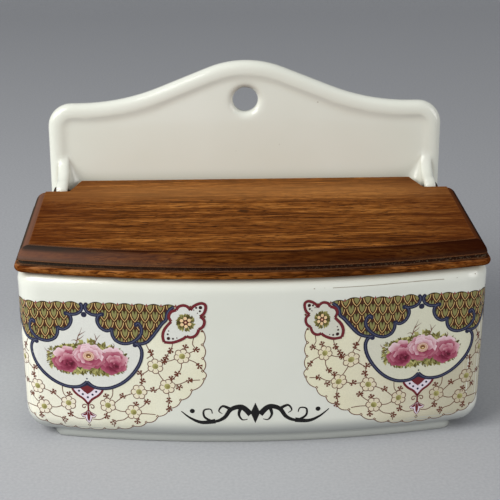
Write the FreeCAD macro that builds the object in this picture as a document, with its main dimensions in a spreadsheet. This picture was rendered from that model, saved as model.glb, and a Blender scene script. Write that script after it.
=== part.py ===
import FreeCAD, Part
import math
import os
from types import SimpleNamespace

import Sketcher
from FreeCAD import Rotation, Vector

# A match box for the wall or the mantelpiece: one glazed porcelain casting with a bowed front
# and a tall shaped back plate, one moulded wooden lid, and the two pins that the lid turns on.
# Millimetres. X runs from left to right, Y from front to back and Z up. The origin lies on the
# standing plane, under the middle of the whole object.

# Driving dimensions
SIZES = {
    # the wooden lid and its moulding, from the underside up
    "lid_width": 160.0,
    "lid_depth": 87.7,
    "lid_bow_radius": 310.0,
    "lid_corner_radius": 4.0,
    "bead_height": 2.6,
    "bead_radius": 1.2,
    "groove_height": 1.5,
    "groove_inset_width": 1.6,
    "groove_overlap_height": 0.2,
    "ovolo_inset_width": 1.2,
    "ovolo_height": 3.5,
    "ovolo_side_width": 3.3,
    "ovolo_front_depth": 5.5,
    "quirk_width": 0.3,
    "quirk_height": 0.4,
    "arris_radius": 0.3,
    # the tongue left between the two cut-out back corners of the lid
    "tongue_depth": 13.9,
    "notch_front_width": 13.8,
    "notch_back_width": 17.6,
    "tongue_edge_radius": 1.2,
    # the porcelain box
    "box_height": 61.7,
    "lid_overhang_width": 0.2,
    "draft_inset_width": 0.9,
    "box_corner_radius": 10.0,
    "bottom_radius": 8.0,
    "shoulder_radius": 4.4,
    "back_edge_radius": 2.5,
    "wall_thickness": 5.6,
    "rim_radius": 0.5,
    "floor_thickness": 5.4,
    "cavity_corner_radius": 6.0,
    "cavity_floor_radius": 4.0,
    # the foot that the box stands on
    "foot_height": 1.8,
    "foot_front_depth": 3.8,
    "foot_side_width": 9.5,
    "foot_back_depth": 4.5,
    "foot_ring_width": 6.0,
    "foot_recess_depth": 1.2,
    "foot_corner_radius": 5.0,
    "foot_cove_radius": 1.2,
    "foot_edge_radius": 0.5,
    # the back plate with its rolled border and its hanging hole
    "plate_thickness": 5.0,
    "plate_side_width": 5.2,
    "plate_root_depth": 10.0,
    "plate_shoulder_height": 98.7,
    "plate_shoulder_flat_width": 3.0,
    "plate_corner_radius": 9.0,
    "border_radius": 2.8,
    "border_flat_width": 1.6,
    "border_setback_depth": 0.05,
    "border_cove_radius": 6.0,
    "lid_to_plate_gap": 2.3,
    "hang_hole_diameter": 9.5,
    "hang_hole_drop_height": 15.2,
    "hang_hole_front_radius": 2.2,
    "hang_hole_back_radius": 1.2,
    # the two ears that hold the pins
    "ear_gap": 1.1,
    "ear_thickness": 4.2,
    "ear_nose_radius": 4.6,
    "ear_upper_radius": 11.0,
    "ear_lower_radius": 4.0,
    "ear_sink_depth": 0.6,
    "ear_edge_radius": 1.1,
    "web_lower_radius": 9.4,
    "web_upper_radius": 0.4,
    "web_drop_height": 3.0,
    "web_rise_height": 8.9,
    "web_overlap_width": 0.1,
    # the hinge pins and their line
    "hinge_setback_depth": 6.5,
    "hinge_drop_height": 2.5,
    "pin_diameter": 2.0,
    "pin_length": 22.0,
    "pin_point_length": 1.8,
    "pin_head_diameter": 4.2,
    "pin_head_height": 1.3,
    "pin_head_edge_height": 0.4,
    "pin_head_play_gap": 0.15,
    "pin_running_clearance": 0.06,
    "pin_tip_clearance": 0.5,
}

# The crest's height and its two curves follow the run from the middle to the end of the shoulder.
CREST_HEIGHT_SHARE = 0.2548
CREST_RADIUS_SHARE = 0.605
SHOULDER_RADIUS_SHARE = 1.29

# The quarter round of the lid, from its foot to its head: shares of its width, its height and its corner.
OVOLO_WIDTH_SHARES = (0.0, 0.14, 0.48, 1.0)
OVOLO_HEIGHT_SHARES = (0.0, 0.42, 0.78, 1.0)
OVOLO_CORNER_SHARES = (1.0, 0.89, 0.62, 0.2)

# How closely an edge has to lie on a plane to be picked for a round.
PICK_TOLERANCE = 0.002

# The axes and the point names of a sketch
ORIGIN, UPRIGHT_AXIS = range(-1, -3, -1)
START, END, CENTRE = range(1, 4)


class Dim:
    """A length with its spreadsheet expression and its present value."""

    def __init__(self, text, value):
        self.text = text
        self.value = value

    def __add__(self, other):
        return Dim(f"({self.text} + {other.text})", self.value + other.value)

    def __sub__(self, other):
        return Dim(f"({self.text} - {other.text})", self.value - other.value)

    def __neg__(self):
        return Dim(f"(0 - {self.text})", -self.value)

    def __mul__(self, share):
        return Dim(f"({self.text} * {share})", self.value * share)

    def __truediv__(self, count):
        return Dim(f"({self.text} / {count})", self.value / count)


doc = FreeCAD.newDocument("match_box")
sheet = doc.addObject("Spreadsheet::Sheet", "Sizes")
for row, (alias, number) in enumerate(SIZES.items(), start=1):
    sheet.set(f"A{row}", alias)
    sheet.set(f"B{row}", str(number))
    sheet.setAlias(f"B{row}", alias)
doc.recompute()
size = SimpleNamespace(**{alias: Dim(f"Sizes.{alias}", number) for alias, number in SIZES.items()})

# Planes and places that several pieces share
overall_depth = size.lid_depth + size.lid_to_plate_gap + size.plate_thickness
back_y = overall_depth / 2
lid_front_y = -back_y
lid_back_y = lid_front_y + size.lid_depth
plate_front_y = back_y - size.plate_thickness
rim_z = size.box_height
groove_z = rim_z + size.bead_height
ovolo_z = groove_z + size.groove_height
quirk_z = ovolo_z + size.ovolo_height
lid_top_z = quirk_z + size.quirk_height
floor_z = size.foot_height + size.floor_thickness
notch_y = lid_back_y - size.tongue_depth
hinge_y = notch_y + size.hinge_setback_depth
hinge_z = lid_top_z - size.hinge_drop_height
box_half_width = size.lid_width / 2 - size.lid_overhang_width
box_front_y = lid_front_y + size.lid_overhang_width
box_bow_radius = size.lid_bow_radius - size.lid_overhang_width
tongue_front_x = size.lid_width / 2 - size.notch_front_width
tongue_back_x = size.lid_width / 2 - size.notch_back_width
plate_half_width = size.lid_width / 2 - size.plate_side_width
crest_run = plate_half_width - size.plate_corner_radius - size.plate_shoulder_flat_width
crest_height = crest_run * CREST_HEIGHT_SHARE
ear_inner_x = tongue_front_x + size.ear_gap
pin_seat_x = ear_inner_x + size.ear_thickness + size.pin_head_play_gap
pin_tip_x = pin_seat_x - size.pin_length


# Small helpers for bodies, sketches and features

def new_body(name):
    body = doc.addObject("PartDesign::Body", name)
    body.Label = name
    return body


def new_sketch(body, name, role, offset=None):
    """A sketch on one of the body's own origin planes, moved along that plane's normal."""
    sketch = body.newObject("Sketcher::SketchObject", name)
    plane = next(item for item in body.Origin.OriginFeatures if item.Role == role)
    sketch.AttachmentSupport = [(plane, "")]
    sketch.MapMode = "FlatFace"
    if offset is not None:
        sketch.setExpression("AttachmentOffset.Base.z", offset.text)
    return sketch


def rule(sketch, *parts):
    sketch.addConstraint(Sketcher.Constraint(*parts))


def drive(sketch, name, dim, *parts):
    """A dimension of the sketch that follows the spreadsheet."""
    index = sketch.addConstraint(Sketcher.Constraint(*parts, dim.value))
    sketch.renameConstraint(index, name)
    sketch.setExpression(f"Constraints.{name}", dim.text)


def add_line(sketch, start, end):
    return sketch.addGeometry(Part.LineSegment(Vector(*start, 0), Vector(*end, 0)), False)


def add_arc(sketch, centre, radius, start_angle, end_angle):
    circle = Part.Circle(Vector(*centre, 0), Vector(0, 0, 1), radius)
    return sketch.addGeometry(Part.ArcOfCircle(circle, start_angle, end_angle), False)


def add_pad(body, name, sketch, length, backwards=False):
    feature = body.newObject("PartDesign::Pad", name)
    feature.Profile = sketch
    feature.Reversed = backwards
    feature.setExpression("Length", length.text)
    doc.recompute()
    return feature


def add_pocket(body, name, sketch, depth=None, backwards=False, both_ways=False):
    """A cut to a depth, or through everything when no depth is given."""
    volume_before = body.Shape.Volume
    feature = body.newObject("PartDesign::Pocket", name)
    feature.Profile = sketch
    feature.Reversed = backwards
    feature.Midplane = both_ways
    if depth is None:
        feature.Type = "ThroughAll"
    else:
        feature.setExpression("Length", depth.text)
    doc.recompute()
    if not body.Shape.Volume < volume_before:
        raise RuntimeError(f"{name} removes nothing")
    return feature


def add_round(body, name, base, wanted, radius):
    """A fillet on every edge of the base feature that the test picks."""
    names = [f"Edge{i}" for i, edge in enumerate(base.Shape.Edges, start=1) if wanted(edge)]
    feature = body.newObject("PartDesign::Fillet", name)
    feature.Base = (base, names)
    feature.setExpression("Radius", radius.text)
    doc.recompute()
    return feature


def add_draft(body, name, base, inset, height):
    """Front and sides lean in towards the bottom. The back stays upright."""
    faces = list(enumerate(base.Shape.Faces, start=1))
    leaning = [
        f"Face{i}"
        for i, face in faces
        if not at_depth(face, back_y) and face.BoundBox.ZLength > PICK_TOLERANCE
    ]
    rim = [f"Face{i}" for i, face in faces if at_height(face, rim_z)]
    feature = body.newObject("PartDesign::Draft", name)
    feature.Base = (base, leaning)
    feature.NeutralPlane = (base, rim)
    feature.Reversed = True
    feature.setExpression("Angle", f"atan({inset.text} / {height.text})")
    doc.recompute()
    return feature


def close_to(number, dim):
    return abs(number - dim.value) < PICK_TOLERANCE


def at_height(item, height):
    box = item.BoundBox
    return close_to(box.ZMin, height) and close_to(box.ZMax, height)


def at_depth(item, depth):
    box = item.BoundBox
    return close_to(box.YMin, depth) and close_to(box.YMax, depth)


def bow_outline(body, name, height, half_width, front, back, bow_radius, corner=None):
    """A flat closed outline: straight back and sides, bowed front, front corners round or sharp."""
    sketch = new_sketch(body, name, "XY_Plane", height)
    bow_y = front + bow_radius
    corner_size = 0 if corner is None else corner.value
    corner_x = half_width.value - corner_size
    reach = bow_radius.value - corner_size
    corner_y = bow_y.value - math.sqrt(reach**2 - corner_x**2)
    spread = math.asin(corner_x / reach)
    left_back = (-half_width.value, back.value)
    right_back = (half_width.value, back.value)
    left_front = (-half_width.value, corner_y)
    right_front = (half_width.value, corner_y)
    down = -math.pi / 2
    rear = add_line(sketch, left_back, right_back)
    right = add_line(sketch, right_back, right_front)
    left = add_line(sketch, left_front, left_back)
    front_arc = add_arc(sketch, (0, bow_y.value), bow_radius.value, down - spread, down + spread)
    rule(sketch, "Coincident", rear, END, right, START)
    rule(sketch, "Coincident", left, END, rear, START)
    if corner is None:
        rule(sketch, "Coincident", right, END, front_arc, END)
        rule(sketch, "Coincident", front_arc, START, left, START)
    else:
        right_arc = add_arc(sketch, (corner_x, corner_y), corner_size, down + spread, 0)
        left_arc = add_arc(sketch, (-corner_x, corner_y), corner_size, -math.pi, down - spread)
        rule(sketch, "Tangent", right, END, right_arc, END)
        rule(sketch, "Tangent", right_arc, START, front_arc, END)
        rule(sketch, "Tangent", front_arc, START, left_arc, END)
        rule(sketch, "Tangent", left_arc, START, left, START)
        rule(sketch, "Equal", left_arc, right_arc)
        drive(sketch, "corner_radius", corner, "Radius", right_arc)
    rule(sketch, "Symmetric", rear, START, rear, END, UPRIGHT_AXIS)
    rule(sketch, "Vertical", left)
    rule(sketch, "Vertical", right)
    rule(sketch, "PointOnObject", front_arc, CENTRE, UPRIGHT_AXIS)
    drive(sketch, "width", half_width * 2, "DistanceX", rear, START, rear, END)
    drive(sketch, "back", back, "DistanceY", ORIGIN, START, rear, START)
    drive(sketch, "bow_centre", bow_y, "DistanceY", ORIGIN, START, front_arc, CENTRE)
    drive(sketch, "bow_radius", bow_radius, "Radius", front_arc)
    return sketch


# The porcelain box: bowed front, slight draft, round shoulder and bottom, foot ring and cavity

def make_box():
    body = new_body("box_shell")

    def box_outline(name, height, inset, rear):
        return bow_outline(
            body,
            name,
            height,
            box_half_width - inset,
            box_front_y + inset,
            rear,
            box_bow_radius - inset,
            size.box_corner_radius - inset,
        )

    no_inset = size.draft_inset_width * 0
    blank = add_pad(
        body,
        "blank",
        box_outline("rim_outline", rim_z, no_inset, back_y),
        rim_z - size.foot_height,
        backwards=True,
    )
    walls = add_draft(body, "walls", blank, size.draft_inset_width, rim_z - size.foot_height)

    def bottom_edge(edge):
        return at_height(edge, size.foot_height) and not at_depth(edge, back_y)

    def shoulder_edge(edge):
        return at_height(edge, rim_z) and not at_depth(edge, back_y)

    def back_edge(edge):
        return at_depth(edge, back_y)

    bottom = add_round(body, "bottom_round", walls, bottom_edge, size.bottom_radius)
    shoulder = add_round(body, "shoulder_round", bottom, shoulder_edge, size.shoulder_radius)
    add_round(body, "back_round", shoulder, back_edge, size.back_edge_radius)

    foot_half_width = box_half_width - size.draft_inset_width - size.foot_side_width
    foot_front = box_front_y + size.draft_inset_width + size.foot_front_depth
    foot_back = back_y - size.foot_back_depth
    foot_bow = box_bow_radius - size.draft_inset_width - size.foot_front_depth

    def foot_outline(name, inset):
        return bow_outline(
            body,
            name,
            no_inset,
            foot_half_width - inset,
            foot_front + inset,
            foot_back - inset,
            foot_bow - inset,
            size.foot_corner_radius,
        )

    foot_rise = size.foot_height + size.foot_front_depth
    foot = add_pad(body, "foot", foot_outline("foot_outline", no_inset), foot_rise)

    def foot_corner(edge):
        upright = edge.BoundBox.XLength < PICK_TOLERANCE and edge.BoundBox.ZLength > PICK_TOLERANCE
        return upright and at_depth(edge, foot_back)

    def standing_edge(edge):
        return at_height(edge, no_inset)

    def foot_crease(edge):
        middle = edge.valueAt((edge.FirstParameter + edge.LastParameter) / 2)
        over_foot = abs(middle.x) < foot_half_width.value + PICK_TOLERANCE
        low = size.foot_height.value - PICK_TOLERANCE < edge.BoundBox.ZMin
        return over_foot and low and edge.BoundBox.ZMax < foot_rise.value

    foot_corners = add_round(body, "foot_corners", foot, foot_corner, size.foot_corner_radius)
    foot_edge = add_round(body, "foot_edge", foot_corners, standing_edge, size.foot_edge_radius)
    add_round(body, "foot_cove", foot_edge, foot_crease, size.foot_cove_radius)
    recess_outline = foot_outline("recess_outline", size.foot_ring_width)
    add_pocket(body, "foot_recess", recess_outline, size.foot_recess_depth, backwards=True)

    cavity_back = back_y - size.wall_thickness
    cavity_outline = box_outline("cavity_outline", rim_z, size.wall_thickness, cavity_back)
    cavity = add_pocket(body, "cavity", cavity_outline, rim_z - floor_z)

    def back_corner(edge):
        return at_depth(edge, cavity_back) and edge.BoundBox.XLength < PICK_TOLERANCE

    def floor_edge(edge):
        return at_height(edge, floor_z)

    def inner_rim_edge(edge):
        inside = edge.BoundBox.XMax < (box_half_width - size.wall_thickness).value + PICK_TOLERANCE
        return at_height(edge, rim_z) and inside and edge.BoundBox.YMax < cavity_back.value + PICK_TOLERANCE

    corners = add_round(body, "cavity_corners", cavity, back_corner, size.cavity_corner_radius)
    floor = add_round(body, "cavity_floor", corners, floor_edge, size.cavity_floor_radius)
    add_round(body, "rim_round", floor, inner_rim_edge, size.rim_radius)
    return body


# The back plate: a slab with an S-curved crest, a rolled border and a hanging hole

def plate_outline(body):
    """The middle line of the border, closed along its root inside the box."""
    half_width = plate_half_width - size.border_radius
    corner = size.plate_corner_radius - size.border_radius
    shoulder_z = size.plate_shoulder_height - size.border_radius
    crest_radius = crest_run * CREST_RADIUS_SHARE - size.border_radius
    shoulder_radius = crest_run * SHOULDER_RADIUS_SHARE + size.border_radius
    crest_centre = shoulder_z + crest_height - crest_radius
    root_z = rim_z - size.plate_root_depth

    rise = (shoulder_z + shoulder_radius - crest_centre).value
    centre_gap = math.hypot(crest_run.value, rise)
    radius_sum = (crest_radius + shoulder_radius).value
    slope = math.atan2(crest_run.value, rise) - math.acos(radius_sum / centre_gap)
    up = math.pi / 2
    corner_z = (shoulder_z - corner).value
    arc_centre_z = (shoulder_z + shoulder_radius).value
    sketch = new_sketch(body, "plate_outline", "XZ_Plane", -back_y)

    def mirrored(side, x, z):
        return (side * x, z)

    crest_end = (
        crest_radius.value * math.sin(slope),
        crest_centre.value + crest_radius.value * math.cos(slope),
    )
    ramp_end = (
        crest_run.value - shoulder_radius.value * math.sin(slope),
        arc_centre_z - shoulder_radius.value * math.cos(slope),
    )
    crest = add_arc(sketch, (0, crest_centre.value), crest_radius.value, up - slope, up + slope)
    root = add_line(sketch, (-half_width.value, root_z.value), (half_width.value, root_z.value))
    sides = {}
    for side in (1, -1):
        flat_end = mirrored(side, (half_width - corner).value, shoulder_z.value)
        side_top = mirrored(side, half_width.value, corner_z)
        side_root = mirrored(side, half_width.value, root_z.value)
        ramp = add_line(sketch, mirrored(side, *crest_end), mirrored(side, *ramp_end))
        sweep_start = -up - slope if side > 0 else -up
        corner_start = 0 if side > 0 else up
        sweep_centre = mirrored(side, crest_run.value, arc_centre_z)
        corner_centre = mirrored(side, (half_width - corner).value, corner_z)
        sweep = add_arc(sketch, sweep_centre, shoulder_radius.value, sweep_start, sweep_start + slope)
        flat = add_line(sketch, mirrored(side, crest_run.value, shoulder_z.value), flat_end)
        turn = add_arc(sketch, corner_centre, corner.value, corner_start, corner_start + up)
        edge = add_line(sketch, side_top, side_root)
        first, last = (START, END) if side > 0 else (END, START)
        rule(sketch, "Tangent", crest, first, ramp, START)
        rule(sketch, "Tangent", ramp, END, sweep, first)
        rule(sketch, "Tangent", sweep, last, flat, START)
        rule(sketch, "Tangent", flat, END, turn, last)
        rule(sketch, "Tangent", turn, first, edge, START)
        rule(sketch, "Coincident", edge, END, root, END if side > 0 else START)
        rule(sketch, "Vertical", edge)
        rule(sketch, "Horizontal", flat)
        sides[side] = SimpleNamespace(sweep=sweep, flat=flat, turn=turn)
    right, left = sides[1], sides[-1]
    rule(sketch, "Symmetric", root, START, root, END, UPRIGHT_AXIS)
    rule(sketch, "PointOnObject", crest, CENTRE, UPRIGHT_AXIS)
    rule(sketch, "Equal", left.sweep, right.sweep)
    rule(sketch, "Equal", left.turn, right.turn)
    rule(sketch, "Equal", left.flat, right.flat)
    drive(sketch, "width", half_width * 2, "DistanceX", root, START, root, END)
    drive(sketch, "root", root_z, "DistanceY", ORIGIN, START, root, START)
    drive(sketch, "crest_centre", crest_centre, "DistanceY", ORIGIN, START, crest, CENTRE)
    drive(sketch, "crest_radius", crest_radius, "Radius", crest)
    drive(sketch, "sweep_radius", shoulder_radius, "Radius", right.sweep)
    drive(sketch, "corner_radius", corner, "Radius", right.turn)
    shoulder_flat = size.plate_shoulder_flat_width
    drive(sketch, "shoulder_flat", shoulder_flat, "DistanceX", right.flat, START, right.flat, END)
    drive(sketch, "right_shoulder", shoulder_z, "DistanceY", ORIGIN, START, right.flat, END)
    drive(sketch, "left_shoulder", shoulder_z, "DistanceY", ORIGIN, START, left.flat, END)
    return sketch


def make_plate():
    body = new_body("back_plate")
    outline = plate_outline(body)
    slab = add_pad(body, "slab", outline, size.plate_thickness)
    root_z = rim_z - size.plate_root_depth

    # the rolled border is a rod with a flat front, bent along the outline
    section = new_sketch(body, "border_section", "XY_Plane", root_z)
    border_x = plate_half_width - size.border_radius
    border_y = back_y - size.border_setback_depth - size.border_radius
    rod = size.border_radius.value
    outer = (-border_x.value, border_y.value)
    inner = (-(border_x - size.border_flat_width).value, border_y.value)
    up = math.pi / 2
    outer_arc = add_arc(section, outer, rod, up, up + math.pi)
    inner_arc = add_arc(section, inner, rod, -up, up)
    rear_line = add_line(section, (outer[0], outer[1] + rod), (inner[0], inner[1] + rod))
    front_line = add_line(section, (inner[0], inner[1] - rod), (outer[0], outer[1] - rod))
    rule(section, "Tangent", outer_arc, START, rear_line, START)
    rule(section, "Tangent", rear_line, END, inner_arc, END)
    rule(section, "Tangent", inner_arc, START, front_line, START)
    rule(section, "Tangent", front_line, END, outer_arc, END)
    rule(section, "Horizontal", rear_line)
    rule(section, "Equal", outer_arc, inner_arc)
    drive(section, "border_radius", size.border_radius, "Radius", outer_arc)
    flat_width = size.border_flat_width
    drive(section, "flat_width", flat_width, "DistanceX", outer_arc, CENTRE, inner_arc, CENTRE)
    drive(section, "border_x", border_x, "DistanceX", outer_arc, CENTRE, ORIGIN, START)
    drive(section, "border_y", border_y, "DistanceY", ORIGIN, START, outer_arc, CENTRE)
    route = [
        f"Edge{i}"
        for i, edge in enumerate(outline.Shape.Edges, start=1)
        if not at_height(edge, root_z)
    ]
    border = body.newObject("PartDesign::AdditivePipe", "rolled_border")
    border.Profile = section
    border.Spine = (outline, route)
    border.Transition = "Right corner"
    doc.recompute()

    def border_crease(edge):
        return at_depth(edge, plate_front_y) and not at_height(edge, root_z)

    cove = add_round(body, "border_cove", border, border_crease, size.border_cove_radius)

    hole_sketch = new_sketch(body, "hang_hole_outline", "XZ_Plane", -back_y)
    crest_z = size.plate_shoulder_height + crest_height
    hole_z = crest_z - size.hang_hole_drop_height
    hole_radius = size.hang_hole_diameter / 2
    circle = Part.Circle(Vector(0, hole_z.value, 0), Vector(0, 0, 1), hole_radius.value)
    hole = hole_sketch.addGeometry(circle, False)
    rule(hole_sketch, "PointOnObject", hole, CENTRE, UPRIGHT_AXIS)
    drive(hole_sketch, "hole_height", hole_z, "DistanceY", ORIGIN, START, hole, CENTRE)
    drive(hole_sketch, "hole_radius", hole_radius, "Radius", hole)
    drilled = add_pocket(body, "hang_hole", hole_sketch, backwards=True)

    def hole_edge(edge, depth):
        box = edge.BoundBox
        on_hole = close_to(box.XMax, hole_radius) and close_to(box.XMin, -hole_radius)
        return on_hole and at_depth(edge, depth)

    front = add_round(
        body,
        "hang_hole_front",
        drilled,
        lambda edge: hole_edge(edge, plate_front_y),
        size.hang_hole_front_radius,
    )
    add_round(
        body,
        "hang_hole_back",
        front,
        lambda edge: hole_edge(edge, back_y),
        size.hang_hole_back_radius,
    )
    return body


# An ear: a round nose about the hinge line that sweeps up and down into the plate, with a hollow
# web in the corner beside it

def web_outline(body, name, side, height, radius):
    """The hollow corner between an ear's inner cheek and the plate, a little sunk into both."""
    sketch = new_sketch(body, name, "XY_Plane", height)
    centre_x = ear_inner_x - radius
    centre_y = plate_front_y - radius
    deep_x = ear_inner_x + size.ear_sink_depth
    deep_y = plate_front_y + size.ear_sink_depth
    reach = radius + size.web_overlap_width
    corners = [
        (side * centre_x.value, (centre_y + reach).value),
        (side * centre_x.value, deep_y.value),
        (side * deep_x.value, deep_y.value),
        (side * deep_x.value, centre_y.value),
        (side * (centre_x + reach).value, centre_y.value),
    ]
    lines = [add_line(sketch, start, end) for start, end in zip(corners, corners[1:])]
    plate_end, plate_side, cheek_side, cheek_end = lines
    arc_start = 0 if side > 0 else math.pi / 2
    centre = (side * centre_x.value, centre_y.value)
    arc = add_arc(sketch, centre, reach.value, arc_start, arc_start + math.pi / 2)
    at_cheek, at_plate = (START, END) if side > 0 else (END, START)
    for line, follower in zip(lines, lines[1:]):
        rule(sketch, "Coincident", line, END, follower, START)
    rule(sketch, "Coincident", cheek_end, END, arc, at_cheek)
    rule(sketch, "Coincident", arc, at_plate, plate_end, START)
    rule(sketch, "Vertical", plate_end)
    rule(sketch, "Horizontal", plate_side)
    rule(sketch, "Vertical", cheek_side)
    rule(sketch, "Horizontal", cheek_end)
    rule(sketch, "Vertical", arc, CENTRE, arc, at_plate)
    rule(sketch, "Horizontal", arc, CENTRE, arc, at_cheek)

    def across(label, dim, part, point):
        ends = (ORIGIN, START, part, point) if side > 0 else (part, point, ORIGIN, START)
        drive(sketch, label, dim, "DistanceX", *ends)

    across("centre_x", centre_x, arc, CENTRE)
    across("deep_x", deep_x, cheek_side, START)
    drive(sketch, "centre_y", centre_y, "DistanceY", ORIGIN, START, arc, CENTRE)
    drive(sketch, "deep_y", deep_y, "DistanceY", ORIGIN, START, cheek_side, START)
    drive(sketch, "reach", reach, "Radius", arc)
    return sketch


def make_ear(name, side):
    body = new_body(name)
    inner = ear_inner_x if side > 0 else -ear_inner_x
    outer = inner + size.ear_thickness if side > 0 else inner - size.ear_thickness
    sketch = new_sketch(body, f"{name}_outline", "YZ_Plane", inner)
    seat_y = plate_front_y + size.ear_sink_depth
    nose = size.ear_nose_radius.value

    def sweep_centre(radius, up_or_down):
        reach_y = (seat_y - radius - hinge_y).value
        reach_z = math.sqrt((nose + radius.value) ** 2 - reach_y**2)
        return (hinge_y.value + reach_y, hinge_z.value + up_or_down * reach_z), math.atan2(reach_z, reach_y)

    upper_centre, upper_angle = sweep_centre(size.ear_upper_radius, 1)
    lower_centre, lower_angle = sweep_centre(size.ear_lower_radius, -1)
    full_turn = 2 * math.pi
    hinge = (hinge_y.value, hinge_z.value)
    nose_arc = add_arc(sketch, hinge, nose, upper_angle, full_turn - lower_angle)
    upper = add_arc(sketch, upper_centre, size.ear_upper_radius.value, math.pi + upper_angle, full_turn)
    lower = add_arc(sketch, lower_centre, size.ear_lower_radius.value, 0, math.pi - lower_angle)
    back = add_line(sketch, (seat_y.value, upper_centre[1]), (seat_y.value, lower_centre[1]))
    rule(sketch, "Tangent", nose_arc, START, upper, START)
    rule(sketch, "Tangent", nose_arc, END, lower, END)
    rule(sketch, "Tangent", upper, END, back, START)
    rule(sketch, "Tangent", lower, START, back, END)
    rule(sketch, "Vertical", back)
    drive(sketch, "hinge_y", hinge_y, "DistanceX", ORIGIN, START, nose_arc, CENTRE)
    drive(sketch, "hinge_z", hinge_z, "DistanceY", ORIGIN, START, nose_arc, CENTRE)
    drive(sketch, "nose_radius", size.ear_nose_radius, "Radius", nose_arc)
    drive(sketch, "upper_sweep", size.ear_upper_radius, "Radius", upper)
    drive(sketch, "lower_sweep", size.ear_lower_radius, "Radius", lower)
    drive(sketch, "seat", seat_y, "DistanceX", ORIGIN, START, back, START)
    ear = add_pad(body, f"{name}_blank", sketch, size.ear_thickness, backwards=side < 0)

    def rim_of_a_cheek(edge):
        box = edge.BoundBox
        on_cheek = box.XLength < PICK_TOLERANCE and (close_to(box.XMin, inner) or close_to(box.XMin, outer))
        return on_cheek and not at_depth(edge, seat_y)

    add_round(body, f"{name}_round", ear, rim_of_a_cheek, size.ear_edge_radius)

    web_foot_z = hinge_z - size.web_drop_height
    web_head_z = hinge_z + size.web_rise_height
    web_foot = web_outline(body, f"{name}_web_foot", side, web_foot_z, size.web_lower_radius)
    web_head = web_outline(body, f"{name}_web_head", side, web_head_z, size.web_upper_radius)
    web = body.newObject("PartDesign::AdditiveLoft", f"{name}_web")
    web.Profile = web_foot
    web.Sections = [web_head]
    web.Ruled = True
    doc.recompute()

    hole_sketch = new_sketch(body, f"{name}_hole_outline", "YZ_Plane")
    hole_radius = size.pin_diameter / 2 + size.pin_running_clearance
    circle = Part.Circle(Vector(*hinge, 0), Vector(0, 0, 1), hole_radius.value)
    hole = hole_sketch.addGeometry(circle, False)
    drive(hole_sketch, "hinge_y", hinge_y, "DistanceX", ORIGIN, START, hole, CENTRE)
    drive(hole_sketch, "hinge_z", hinge_z, "DistanceY", ORIGIN, START, hole, CENTRE)
    drive(hole_sketch, "hole_radius", hole_radius, "Radius", hole)
    add_pocket(body, f"{name}_hole", hole_sketch, both_ways=True)
    return body


def make_porcelain():
    """Box, plate and ears leave the mould as one casting."""
    casting = doc.addObject("Part::MultiFuse", "porcelain_body")
    casting.Label = "porcelain_body"
    casting.Shapes = [make_box(), make_plate(), make_ear("ear_left", -1), make_ear("ear_right", 1)]
    casting.Refine = True
    doc.recompute()
    return casting


# The lid: one board, moulded along the front and both ends, with its back corners cut out

def notch_outline(body):
    """Two four-sided cut-outs, one at each back corner."""
    sketch = new_sketch(body, "notch_outline", "XY_Plane", lid_top_z)
    overrun = size.tongue_depth
    outer_x = size.lid_width / 2 + overrun
    rear_y = lid_back_y + overrun
    splay = tongue_front_x + (tongue_back_x - tongue_front_x) * 2
    for side in (1, -1):
        corners = [
            (side * tongue_front_x.value, notch_y.value),
            (side * outer_x.value, notch_y.value),
            (side * outer_x.value, rear_y.value),
            (side * splay.value, rear_y.value),
        ]
        lines = [add_line(sketch, corners[i], corners[(i + 1) % len(corners)]) for i in range(len(corners))]
        for i, line in enumerate(lines):
            rule(sketch, "Coincident", line, END, lines[(i + 1) % len(lines)], START)
        front, outer, rear, cheek = lines
        rule(sketch, "Horizontal", front)
        rule(sketch, "Vertical", outer)
        rule(sketch, "Horizontal", rear)
        name = "right" if side > 0 else "left"

        def across(label, dim, line, point):
            ends = (ORIGIN, START, line, point) if side > 0 else (line, point, ORIGIN, START)
            drive(sketch, f"{name}_{label}", dim, "DistanceX", *ends)

        across("tongue_front", tongue_front_x, front, START)
        across("outer", outer_x, outer, START)
        across("tongue_splay", splay, cheek, START)
        drive(sketch, f"{name}_notch", notch_y, "DistanceY", ORIGIN, START, front, START)
        drive(sketch, f"{name}_rear", rear_y, "DistanceY", ORIGIN, START, rear, START)
    return sketch


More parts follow.
